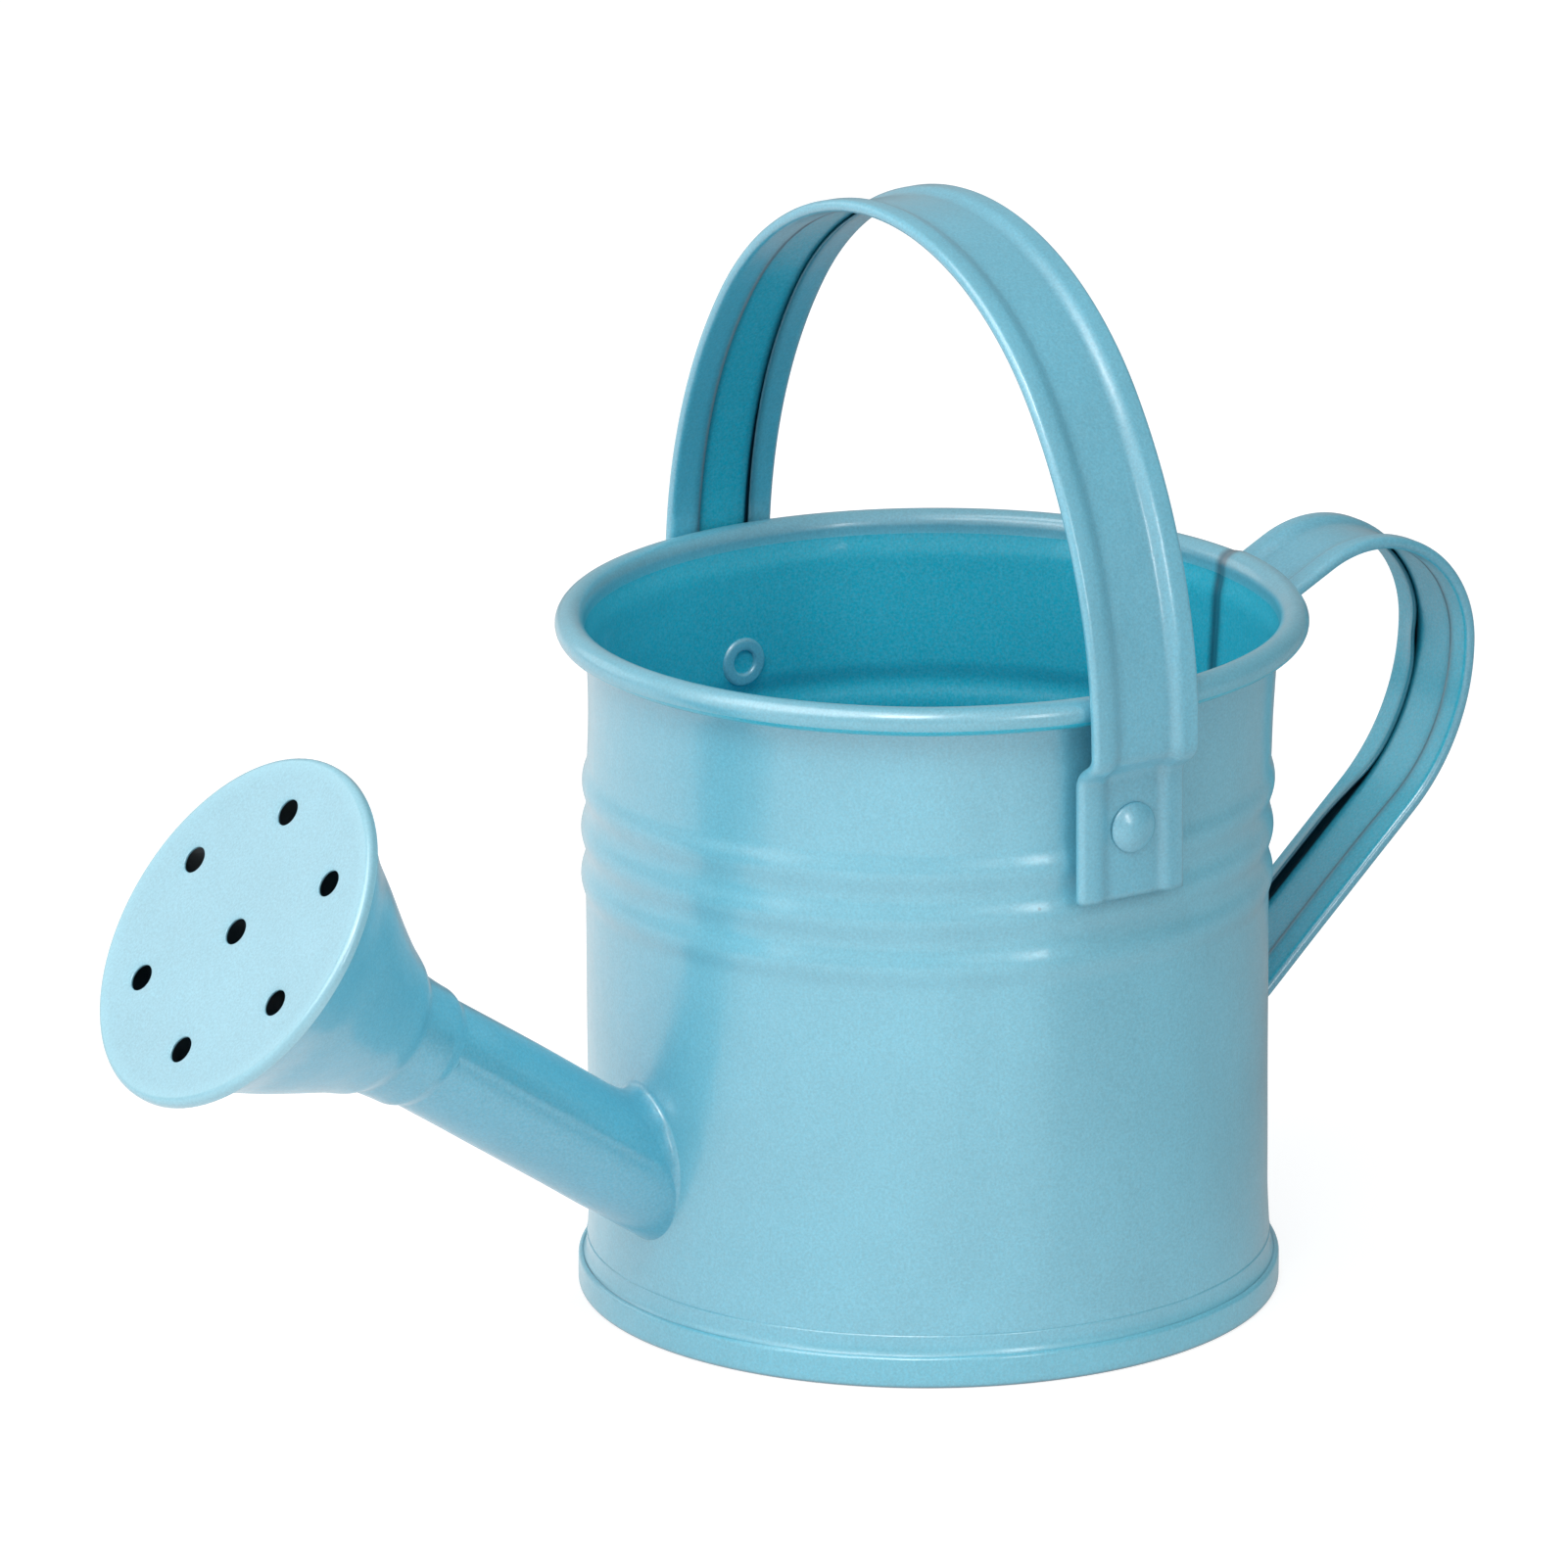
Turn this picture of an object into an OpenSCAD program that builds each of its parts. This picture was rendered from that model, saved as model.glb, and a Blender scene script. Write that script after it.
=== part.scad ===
// Small sheet-metal watering can: beaded round body, rose spout, swinging strap bail and fixed rear handle.
// Frame: millimetres, +Z up, +X towards the spout. The bail turns about Y.
// The origin lies on the ground at the body's axis.

/* [Body] */
// Outer radius of the wall
wall_r = 50; // [44:0.5:56]
// Height from the ground to the top of the rim
body_h = 101.8; // [100:0.2:116]
// Thickness of the tin sheet
sheet = 0.4; // [0.3:0.02:0.46]
// Outer radius of the rim's curled tube
curl_r = 2.1; // [1.7:0.05:2.4]
// How far the curl's inner edge stands out from the wall's inner face
curl_offset = 0.75; // [0.4:0.05:1.2]
// Height of the flared throat below the curl
throat_h = 5; // [3:0.5:8]
// Number of raised ring beads round the wall
bead_count = 3; // [1:1:4]
// Height of one ring bead along the wall
bead_pitch = 7; // [5:0.25:8]
// How far a ring bead stands out
bead_rise = 0.65; // [0.3:0.05:0.9]
// Distance from the rim's top down to the upper end of the beads
bead_drop = 22.1; // [21.5:0.1:30]
// Width of the lap seam inside the wall
lap_w = 5; // [3:0.5:8]

/* [Base] */
// Height of the folded seam round the foot
seam_h = 4.7; // [4:0.1:6]
// Height of the base plate's underside above the ground
base_recess = 4; // [3:0.25:8]
// Bend radius of the base plate's inner corner
base_bend_r = 1.2; // [0.6:0.1:2.5]
// Bend radius of the foot's two lower corners
foot_bend_r = 0.45; // [0.3:0.05:0.6]
// Play between the folded layers of the seam
seam_play = 0.02; // [0.01:0.005:0.04]

/* [Spout] */
// Outer radius of the spout tube
spout_r = 8.6; // [7:0.1:9.4]
// Wall thickness of the spout tube
spout_wall = 0.5; // [0.3:0.05:0.8]
// Angle of the spout above the ground
spout_angle = 36; // [30:1:45]
// Height at which the spout's axis meets the wall
spout_root_z = 24.6; // [21:0.2:32]
// Distance along the spout's axis from the wall to the rose's face
spout_reach = 82.9; // [70:0.5:95]
// How far the tube reaches through the wall
spout_stub = 0.8; // [0.4:0.1:2]
// Play between the tube and the hole in the wall
spout_play = 0.05; // [0.02:0.01:0.1]
// Width of the solder bead along the wall
solder_w = 1.9; // [1.2:0.1:2.6]
// Rise of the solder bead along the tube
solder_h = 1.7; // [1:0.1:2.4]

/* [Rose] */
// Outer radius of the rose's face
rose_r = 27; // [22:0.2:30]
// Length of the rose's cone, from the face to the neck
cone_len = 30.6; // [26:0.2:38]
// How far the cone's side is hollowed
cone_dip = 0.5; // [0:0.1:1.5]
// Length of the collar that grips the tube
collar_len = 7; // [4:0.2:9]
// Straight length at the collar's mouth
collar_grip = 1.5; // [0.5:0.1:3]
// Outer radius of the neck where the cone meets the collar
neck_r = 9.9; // [9.1:0.1:11]
// Play between the collar and the tube
collar_play = 0.02; // [0.01:0.01:0.05]
// How far the face sinks from its edge to its middle
face_dish = 0.5; // [0:0.1:1.5]
// Depth of the rolled edge round the face
face_hem = 1.7; // [1:0.1:3]
// Number of holes in the ring
hole_count = 6; // [3:1:8]
// Diameter of one hole
hole_d = 4; // [2:0.1:5]
// Radius of the ring of holes
hole_ring_r = 18.55; // [12:0.25:20]
// Turn of the ring of holes from straight up, towards the can's right side
hole_turn = 9; // [0:1:30]

/* [Strap] */
// Width of the handle strap
strap_w = 18; // [16:0.2:20]
// Thickness of the strap over its folded edges
strap_t = 1.8; // [1.7:0.05:2.2]
// Half width of the flat band along the middle
panel_half = 3.8; // [3.6:0.1:4.2]
// Half width at which the rounded lips begin
lip_half = 6.4; // [6:0.1:6.8]
// How deep the middle band lies below the lips
recess = 0.9; // [0.5:0.05:0.9]
// Distance from the strap's middle to the free edge of each folded hem
hem_half = 4.3; // [4:0.1:6]

/* [Bail] */
// Gap between the rim and the legs that pass it
rim_gap = 0.35; // [0.3:0.05:1.5]
// Height of the arch's top above the rim
arch_rise = 60.6; // [50:0.2:66]
// How much smaller the crown's radius is than half the arch's width
crown_less = 5.7; // [3:0.1:9]
// Distance from the rim's top down to the pivot
pivot_drop = 20.1; // [18:0.1:21]
// Length of the tab below the pivot
tab_foot = 10.3; // [8.5:0.1:12]
// Distance from the rim's top down to the upper bend of the leg
joggle_drop = 8; // [7:0.1:9]
// Length of the leg that stays straight above the upper bend
leg_straight = 0.4; // [0.2:0.1:4]
// Slope of the step in the leg
joggle_angle = 50; // [40:1:60]
// Inner radius of the bends at the step
joggle_r = 2; // [1:0.1:2.5]
// Gap between the ring beads and the tab's edges
tab_gap = 0.3; // [0.25:0.05:0.8]

/* [Rivets] */
// Radius of the rivet's domed head
head_r = 4; // [3.4:0.1:4.6]
// Height of the rivet's domed head
head_h = 1.9; // [1.2:0.1:2.4]
// Radius of the rivet's shank
shank_r = 2.4; // [2.2:0.05:2.7]
// Radius of the shoulder that spaces the tab from the wall
shoulder_pin_r = 3; // [2.9:0.1:3.3]
// Running play round the shank and at the faces of the tab
pivot_play = 0.06; // [0.03:0.01:0.1]
// Radius of the rolled tail inside the can
tail_r = 3.65; // [3.2:0.05:4.2]
// Thickness of the rolled tail
tail_h = 1.1; // [0.8:0.1:1.6]
// Radius of the hollow in the tail
tail_bore_r = 1.75; // [1.2:0.05:1.9]
// Depth of the hollow in the tail
tail_bore_len = 2.6; // [1.5:0.1:3]

/* [Rear handle] */
// Distance from the wall to the handle's outermost face
grip_reach = 41.7; // [36:0.5:48]
// Outer radius of the upper turn
grip_top_r = 18.2; // [15:0.2:22]
// Outer radius of the lower turn
grip_back_r = 34; // [28:0.5:40]
// Upward slope of the strap as it leaves the wall
grip_rise = 27; // [20:1:34]
// Distance from the rim's top down to the upper corner
grip_drop = 9.3; // [9:0.1:11]
// Height of the lower corner above the ground
grip_foot_z = 32.4; // [26:0.2:38]
// Inner radius of the bends at both ends
grip_bend_r = 2; // [1:0.1:3]
// Length of the upper tab below its bend
upper_tab = 8.4; // [6:0.2:9]
// Length of the lower tab below its bend
lower_tab = 12; // [8:0.5:16]
// Radius of one spot weld
weld_r = 1.5; // [1:0.1:1.8]
// Distance between the two spot welds of a tab
weld_pitch = 4.2; // [3.8:0.1:4.5]

/* [Hidden] */
$fn = 96;

// Play between a soldered or welded piece and the wall it lies on
seat_play = 0.01;
// Play between the rivets and the two faces of the wall they clamp
rivet_play = 0.02;
// Free height at the end of each hook in the foot seam
hook_gap = 0.5;
// How far the sealing compound stays off the folds
seal_gap = 0.05;
// Share of a sheet between the middles of the side seam's two layers
lap_share = 0.9;
// Angles at which the rim's curl leaves the wall and at which it ends
curl_from = 165;
curl_to = -130;
// Gap between the tube's end and the cone's neck
tube_gap = 0.5;
// Steps of the solder fillet round the spout's root
solder_steps = 3;
// Height and outer edge of the solder ring below the collar
ring_h = 0.7;
ring_edge = 0.1;

// Points per bend, bead and curl along a folded outline
bend_steps = 8;
bead_steps = 12;
curl_steps = 24;
// Points per fold, slope and hem of the strap's section
fold_steps = 5;
slope_steps = 4;
hem_steps = 3;
// Largest turn between two rings of a strap, on its small bends and on its wide arcs
small_turn = 12;
wide_turn = 6;
// How far out from its seat the rear handle stays bent round the wall
hug_fade = 3;
// Points along the cone's side and across the face's dish
cone_steps = 16;
dish_steps = 8;
// Bend radius of the face's rolled edge, and the angle at which its bend begins
hem_bend_r = 0.4;
hem_from = 75;
// A little extra length for cuts that pass through a face
over = 1;

paint = [0.44, 0.76, 0.84];
sealant = [0.36, 0.38, 0.38];

// Derived sizes of the body
half_sheet = sheet / 2;
wall_mid = wall_r - half_sheet;
wall_in = wall_r - sheet;
seam_step = sheet + seam_play;
hook_r = wall_mid + 2 * seam_step;
foot_out_r = wall_mid + 3 * seam_step;
chuck_r = wall_mid - seam_step;
hook_bend_z = sheet + seam_play + half_sheet + seam_step;
cap_bend_z = seam_h - half_sheet - seam_step;
hook_top_z = cap_bend_z - hook_gap;
panel_z = base_recess + half_sheet;
curl_mid_r = curl_r - half_sheet;
curl_z = body_h - curl_r;
curl_in = wall_in + curl_offset;
curl_c = curl_in + curl_r;
rim_r = curl_c + curl_r;
throat_z = curl_z - throat_h;
beads_top_z = body_h - bead_drop;
beads_foot_z = beads_top_z - bead_count * bead_pitch;

// Derived sizes of the spout and rose, with s measured along the spout's axis from the wall
collar_r = spout_r + collar_play + sheet;
collar_s = spout_reach - cone_len - collar_len;
neck_s = spout_reach - cone_len;
tube_end_s = neck_s - tube_gap;
cone_mouth_r = rose_r - sheet - collar_play;
face_edge_r = rose_r - half_sheet - hem_bend_r;

// Derived sizes of the strap, measured from its lips
fold_r = strap_t / 2;
fold_mid_r = fold_r - half_sheet;
panel_top = -recess;
panel_under = -recess - sheet;
strap_half = strap_w / 2;
panel_sag = sag(panel_half);

// Derived sizes of the bail
pivot_z = body_h - pivot_drop;
tab_in = wall_r + bead_rise + sag(strap_half) + tab_gap;
tab_out = tab_in + strap_t;
joggle_top_z = body_h - joggle_drop;
arch_half_w = rim_r + rim_gap + strap_t;
arch_top_z = body_h + arch_rise;
crown_r = arch_half_w - crown_less;
crown_z = arch_top_z - crown_r;
shoulder_z = joggle_top_z + leg_straight;
shoulder_h = crown_z - shoulder_z;
shoulder_r = (pow(shoulder_h, 2) / crown_less + crown_r + arch_half_w) / 2;
shoulder_turn = atan2(shoulder_h, shoulder_r - arch_half_w);
step_shift = arch_half_w - tab_out;
step_bend = 2 * joggle_r + strap_t;
step_line = (step_shift - step_bend * (1 - cos(joggle_angle))) / sin(joggle_angle);
step_h = step_bend * sin(joggle_angle) + step_line * cos(joggle_angle);
joggle_foot_z = joggle_top_z - step_h;
tab_foot_z = pivot_z - tab_foot;
bail_path = [
    ["line", joggle_foot_z - tab_foot_z],
    ["right", joggle_r, joggle_angle],
    ["line", step_line],
    ["left", joggle_r + strap_t, joggle_angle],
    ["line", leg_straight],
    ["left", shoulder_r, shoulder_turn],
    ["left", crown_r, 180 - 2 * shoulder_turn],
    ["left", shoulder_r, shoulder_turn],
    ["line", leg_straight],
    ["left", joggle_r + strap_t, joggle_angle],
    ["line", step_line],
    ["right", joggle_r, joggle_angle],
    ["line", joggle_foot_z - tab_foot_z]
];

// Derived sizes of the rivets, measured outwards from the can's axis
head_seat = tab_out + panel_top - panel_sag + slope_at(head_r) + pivot_play;
shoulder_face = tab_out + panel_under - panel_sag - pivot_play;
shoulder_seat = wall_r + bead_at(pivot_z - shoulder_pin_r) + rivet_play;
tail_seat = sqrt(pow(wall_in, 2) - pow(tail_r, 2)) - rivet_play;

// Derived sizes of the rear handle, with s measured outwards from the can's axis
lower_line = wall_r + seat_play + strap_t;
upper_seat = wall_r + seat_play;
upper_corner_z = body_h - grip_drop;
grip_out = wall_r + grip_reach;
grip_top_s = grip_out - grip_top_r;
grip_mid_z = upper_corner_z + (grip_top_s - upper_seat) * tan(grip_rise) - grip_top_r / cos(grip_rise);
grip_top_c = [grip_top_s, grip_mid_z];
grip_back_c = [grip_out - grip_back_r, grip_mid_z];
foot_to_back = grip_back_c - [lower_line, grip_foot_z];
foot_dist = norm(foot_to_back);
grip_slope = atan2(foot_to_back[1], foot_to_back[0]) - asin(grip_back_r / foot_dist);
slope_len = sqrt(pow(foot_dist, 2) - pow(grip_back_r, 2));
foot_bend = 90 - grip_slope;
head_bend = 90 - grip_rise;
foot_bite = grip_bend_r * tan(foot_bend / 2);
head_bite = (grip_bend_r + strap_t) * tan(head_bend / 2);
rise_len = norm(grip_top_c + grip_top_r * [-sin(grip_rise), cos(grip_rise)] - [upper_seat, upper_corner_z]);
grip_start = [lower_line, grip_foot_z - foot_bite - lower_tab];
grip_path = [
    ["line", lower_tab],
    ["right", grip_bend_r, foot_bend],
    ["line", slope_len - foot_bite],
    ["left", grip_back_r, 90 - grip_slope],
    ["left", grip_top_r, 90 + grip_rise],
    ["line", rise_len - head_bite],
    ["left", grip_bend_r + strap_t, head_bend],
    ["line", upper_tab]
];
lower_weld_z = grip_start[1] + lower_tab / 2;
upper_weld_z = upper_corner_z - head_bite - upper_tab / 2;

// Height of the ring beads above the plain wall at a height z
function bead_at(z) =
    z <= beads_foot_z || z >= beads_top_z ? 0 :
    bead_rise * (1 - cos(360 * (z - beads_foot_z) / bead_pitch)) / 2;

// How far the wall falls back from its front line at a distance u to the side
function sag(u) = wall_r - sqrt(pow(wall_r, 2) - pow(u, 2));

// Height of the strap's outer face above its middle band at a distance u to the side
function slope_at(u) =
    u <= panel_half ? 0 : recess * (1 - cos(180 * (u - panel_half) / (lip_half - panel_half))) / 2;

// Points on an arc about [x, z], from angle a0 to angle a1
function arc(x, z, r, a0, a1, n) =
    [for (i = [0:n]) let (a = a0 + (a1 - a0) * i / n) [x + r * cos(a), z + r * sin(a)]];

// Unit normal of a path at point i, to the left of its run
function path_normal(p, i) =
    let (d = p[min(i + 1, len(p) - 1)] - p[max(i - 1, 0)])
    [-d[1], d[0]] / norm(d);

// The outline of a sheet of thickness t folded along a path
function folded(p, t) = concat(
    [for (i = [0:len(p) - 1]) p[i] + path_normal(p, i) * t / 2],
    [for (i = [len(p) - 1:-1:0]) p[i] - path_normal(p, i) * t / 2]
);

// The middle line of the wall from its foot up to the end of the curl, moved inwards by d
function wall_rise(d) = concat(
    [for (i = [0:bead_count * bead_steps])
        let (z = beads_foot_z + i * bead_pitch / bead_steps) [wall_mid - d + bead_at(z), z]],
    [for (i = [0:bend_steps])
        let (k = i / bend_steps)
        [wall_mid - d + (curl_in - wall_in) * (1 - cos(180 * k)) / 2, throat_z + throat_h * k]]
);

wall_path = concat(
    [[hook_r, hook_top_z]],
    arc(wall_mid + seam_step, hook_bend_z, seam_step, 0, -180, bend_steps),
    wall_rise(0),
    arc(curl_c, curl_z, curl_mid_r, curl_from, curl_to, curl_steps)
);

base_path = concat(
    [[0, panel_z]],
    arc(chuck_r - base_bend_r, panel_z - base_bend_r, base_bend_r, 90, 0, bend_steps),
    arc(chuck_r + foot_bend_r, half_sheet + foot_bend_r, foot_bend_r, 180, 270, bend_steps),
    arc(foot_out_r - foot_bend_r, half_sheet + foot_bend_r, foot_bend_r, 270, 360, bend_steps),
    arc(hook_r, cap_bend_z, seam_step, 0, 180, bend_steps),
    [[wall_mid + seam_step, hook_bend_z + hook_gap]]
);

// One half of the strap's section, from the free edge of the hem to the middle, as [across, depth]
strap_half_path = concat(
    [for (i = [0:hem_steps - 1])
        [hem_half + (strap_half - fold_r - hem_half) * i / hem_steps, -strap_t + half_sheet]],
    arc(strap_half - fold_r, -fold_r, fold_mid_r, -90, 90, fold_steps),
    [for (i = [0:slope_steps])
        let (u = lip_half - (lip_half - panel_half) * i / slope_steps)
        [u, slope_at(u) - recess - half_sheet]]
);
strap_path = concat(
    strap_half_path,
    [for (i = [len(strap_half_path) - 1:-1:0]) [-strap_half_path[i][0], strap_half_path[i][1]]]
);
strap_outline = folded(strap_path, sheet);

// Place [x, y, heading] of a strap's lip line after a share k of the piece s, from the place q
function along(q, s, k) =
    s[0] == "line" ? [q[0] + k * s[1] * cos(q[2]), q[1] + k * s[1] * sin(q[2]), q[2]] :
    let (
        side = s[0] == "left" ? 1 : -1,
        g = q[2] + side * s[2] * k
    )
    [q[0] + side * s[1] * (sin(g) - sin(q[2])), q[1] - side * s[1] * (cos(g) - cos(q[2])), g];

// Place of the lip line after the first n pieces of a path that starts at p
function place(path, n, p) = n == 0 ? p : along(place(path, n - 1, p), path[n - 1], 1);

// Number of rings that a piece of a strap's path takes
function ring_count(s) = s[0] == "line" ? 1 : ceil(s[2] / (s[1] < strap_half ? small_turn : wide_turn));

// All the places of the lip line at which a strap has a ring
function ring_places(path, p) = concat(
    [p],
    [for (i = [0:len(path) - 1])
        let (q = place(path, i, p), n = ring_count(path[i]))
        for (j = [1:n]) along(q, path[i], j / n)]
);

// One ring of a strap, its section set square to the run.
// Below top and near the seat the section is bent round the wall.
function ring_points(q, seat, fade, top) =
    let (
        hug = q[1] > top ? 0 : max(0, min(1, (seat + fade - abs(q[0])) / fade)),
        inwards = -sign(q[0]) * hug
    )
    [for (c = strap_outline)
        [q[0] + c[1] * sin(q[2]) + inwards * sag(c[0]), q[1] - c[1] * cos(q[2]), c[0]]];

// Places its children at distance s along the spout's axis, with their Z along the axis
module on_spout(s) {
    translate([wall_r, 0, spout_root_z])
        rotate([0, 90 - spout_angle, 0])
            translate([0, 0, s]) children();
}

// A plain rod on the spout's axis between two distances
module spout_rod(r, s0, s1) {
    on_spout(s0) cylinder(r = r, h = s1 - s0);
}

// Everything within radius r of the can's axis, as tall as the can and its arch
module can_core(r) {
    translate([0, 0, -over]) cylinder(r = r, h = arch_top_z);
}

// A strap swept along a path in the XY plane, its lips to the right of the run and its width along Z
module strap(path, start, seat, fade, top) {
    places = ring_places(path, start);
    n = len(strap_outline);
    last = len(places) - 1;
    polyhedron(
        points = [for (q = places) each ring_points(q, seat, fade, top)],
        faces = concat(
            [for (j = [0:n / 2 - 2]) each [[j + 1, j, n - 2 - j], [j, n - 1 - j, n - 2 - j]]],
            [for (i = [0:last - 1], j = [0:n - 1])
                let (a = i * n + j, b = i * n + (j + 1) % n) each [[a, b, a + n], [b, b + n, a + n]]],
            [for (j = [0:n / 2 - 2]) let (a = last * n + j, b = last * n + n - 1 - j)
                each [[a, a + 1, b - 1], [a, b - 1, b]]]
        )
    );
}

module body_wall() {
    color(paint) difference() {
        union() {
            rotate_extrude() polygon(folded(wall_path, sheet));
            lap_seam();
        }
        spout_rod(spout_r + spout_play, -wall_r / 2, spout_reach / 2);
        rivet_hole(1);
        rivet_hole(-1);
    }
}

// The inner layer of the wall's side seam, behind the rear handle
module lap_seam() {
    lap_angle = lap_w / wall_in * 180 / PI;
    lap_set = sheet * lap_share;
    rotate([0, 0, 180 - lap_angle / 2])
        rotate_extrude(angle = lap_angle)
            polygon(folded(concat([[wall_mid - lap_set, seam_h + base_bend_r]], wall_rise(lap_set)), sheet));
}

module rivet_hole(side) {
    translate([0, side * rim_r, pivot_z]) rotate([side * 90, 0, 0])
        cylinder(r = shank_r + rivet_play, h = rim_r - tail_seat + over);
}

module base_plate() {
    color(paint) rotate_extrude() polygon(folded(base_path, sheet));
}

// Sealing compound in the two pockets of the folded foot seam
module seam_seal() {
    color(sealant) rotate_extrude() {
        translate([hook_r - half_sheet, hook_top_z + seam_play]) square([sheet, hook_gap]);
        translate([wall_mid + seam_step - half_sheet, hook_bend_z - seal_gap]) square([sheet, hook_gap]);
    }
}

module spout_tube() {
    color(paint) difference() {
        spout_rod(spout_r, -wall_r / 2, tube_end_s);
        spout_rod(spout_r - spout_wall, -wall_r / 2 - over, tube_end_s + over);
        can_core(wall_in - spout_stub);
    }
}

// A stepped fillet of solder in the corner between the wall and the tube
module spout_solder() {
    color(paint) difference() {
        union() {
            for (i = [1:solder_steps]) {
                solder_band(solder_w * (1 - (i - 1) / solder_steps), solder_h * i / solder_steps);
            }
        }
        can_core(wall_r + seat_play);
        spout_rod(spout_r + seat_play, -wall_r / 2 - over, spout_reach);
    }
}

module solder_band(w, h) {
    intersection() {
        spout_rod(spout_r + w, -wall_r / 2, spout_reach / 2);
        can_core(wall_r + h);
    }
}

// Radius of the cone's outer face at a share k of the way from the neck to the mouth
function cone_r(k) = neck_r + (cone_mouth_r - neck_r) * k - cone_dip * sin(180 * k);

// Middle line of the rose's cone and collar, from the collar's open end
rose_path = concat(
    [[collar_r - half_sheet, 0], [collar_r - half_sheet, collar_grip]],
    [for (i = [0:cone_steps])
        let (k = i / cone_steps) [cone_r(k) - half_sheet, collar_len + (cone_len - sheet) * k]]
);

// Middle line of the rose's face, from its centre over the rolled edge
face_path = concat(
    [[0, -face_dish]],
    [for (i = [1:dish_steps])
        let (k = i / dish_steps) [face_edge_r * k, face_dish * (pow((i - 1) / (dish_steps - 1), 2) - 1)]],
    arc(face_edge_r, -hem_bend_r, hem_bend_r, hem_from, 0, fold_steps),
    [[rose_r - half_sheet, -face_hem]]
);

module rose_shell() {
    color(paint) on_spout(collar_s) rotate_extrude() polygon(folded(rose_path, sheet));
}

module rose_face() {
    color(paint) on_spout(spout_reach) difference() {
        rotate_extrude() polygon(folded(face_path, sheet));
        for (i = [0:hole_count]) rose_hole(i);
    }
}

// The holes of the face: number 0 in the middle, the rest in the ring
module rose_hole(i) {
    turn = hole_turn + 360 * i / hole_count;
    reach = i == 0 ? 0 : hole_ring_r;
    translate([-reach * cos(turn), -reach * sin(turn), -face_dish - sheet - over])
        cylinder(d = hole_d, h = face_dish + sheet + 2 * over);
}

// A ring of solder on the tube, below the collar's edge
module rose_solder() {
    color(paint) on_spout(collar_s - ring_h) difference() {
        cylinder(r1 = spout_r + ring_edge, r2 = collar_r, h = ring_h);
        translate([0, 0, -over]) cylinder(r = spout_r + seat_play, h = ring_h + 2 * over);
    }
}

module rear_handle() {
    color(paint) rotate([90, 0, 180])
        strap(grip_path, [grip_start[0], grip_start[1], 90], lower_line, hug_fade, body_h);
}

// Two spot welds between each tab's middle band and the wall
module handle_welds() {
    color(paint) for (side = [-1, 1]) {
        weld(side, lower_weld_z, lower_line + panel_under - panel_sag);
        weld(side, upper_weld_z, upper_seat - panel_top - panel_sag);
    }
}

module weld(side, z, face) {
    translate([-face, 0, z + side * weld_pitch / 2]) rotate([0, 90, 0])
        cylinder(r = weld_r, h = face - upper_seat);
}

module bail_strap() {
    color(paint) difference() {
        rotate([90, 0, 90])
            strap(bail_path, [tab_out, tab_foot_z, 90], tab_out, step_shift, joggle_top_z);
        translate([0, tab_out + over, pivot_z]) rotate([90, 0, 0])
            cylinder(r = shank_r + pivot_play, h = 2 * (tab_out + over));
    }
}

// A shouldered rivet with a domed head outside and a rolled hollow tail inside
module rivet(side) {
    head_ball = (pow(head_r, 2) + pow(head_h, 2)) / (2 * head_h);
    tail_in = tail_seat - tail_h;
    color(paint) translate([0, 0, pivot_z]) rotate([side * -90, 0, 0]) difference() {
        union() {
            intersection() {
                translate([0, 0, head_seat + head_h - head_ball]) sphere(r = head_ball);
                translate([0, 0, head_seat]) cylinder(r = head_r, h = head_h + over);
            }
            translate([0, 0, tail_in]) cylinder(r = shank_r, h = head_seat + head_h / 2 - tail_in);
            translate([0, 0, shoulder_seat]) cylinder(r = shoulder_pin_r, h = shoulder_face - shoulder_seat);
            translate([0, 0, tail_in]) rotate_extrude() rolled_tail();
        }
        translate([0, 0, tail_in - over]) cylinder(r = tail_bore_r, h = tail_bore_len + over);
    }
}

// Half section of the rolled tail: a ring with a round outer edge
module rolled_tail() {
    edge_r = tail_h / 2;
    translate([shank_r - half_sheet, 0]) square([tail_r - edge_r - shank_r + half_sheet, tail_h]);
    translate([tail_r - edge_r, edge_r]) circle(r = edge_r);
}

module bail_rivet_left() {
    rivet(1);
}

module bail_rivet_right() {
    rivet(-1);
}

body_wall();
base_plate();
seam_seal();
spout_tube();
spout_solder();
rose_shell();
rose_face();
rose_solder();
rear_handle();
handle_welds();
bail_strap();
bail_rivet_left();
bail_rivet_right();
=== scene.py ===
"""A small painted tin watering can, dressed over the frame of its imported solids.

Lengths in the classes are in millimetres and angles in degrees; meshes are written in metres.
"""

from __future__ import annotations

import logging
import math
from dataclasses import dataclass, field
from enum import Enum

import bmesh
import bpy
import numpy as np
from mathutils import Matrix, Vector
from numpy.typing import NDArray


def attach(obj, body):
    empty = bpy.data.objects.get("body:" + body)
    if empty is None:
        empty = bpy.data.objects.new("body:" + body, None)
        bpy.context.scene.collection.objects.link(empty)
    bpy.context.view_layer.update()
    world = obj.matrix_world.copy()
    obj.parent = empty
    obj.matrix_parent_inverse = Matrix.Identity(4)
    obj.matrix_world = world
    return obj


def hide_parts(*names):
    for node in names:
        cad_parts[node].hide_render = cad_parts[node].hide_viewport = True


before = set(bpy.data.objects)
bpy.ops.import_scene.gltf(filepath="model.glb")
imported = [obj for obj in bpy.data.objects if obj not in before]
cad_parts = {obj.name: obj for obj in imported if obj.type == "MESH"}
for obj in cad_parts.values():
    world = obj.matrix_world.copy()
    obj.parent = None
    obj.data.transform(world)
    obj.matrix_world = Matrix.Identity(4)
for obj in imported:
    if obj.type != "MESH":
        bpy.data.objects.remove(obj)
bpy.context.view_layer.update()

Grid = NDArray[np.float64]
Index = NDArray[np.int64]
MM = 0.001
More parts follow.
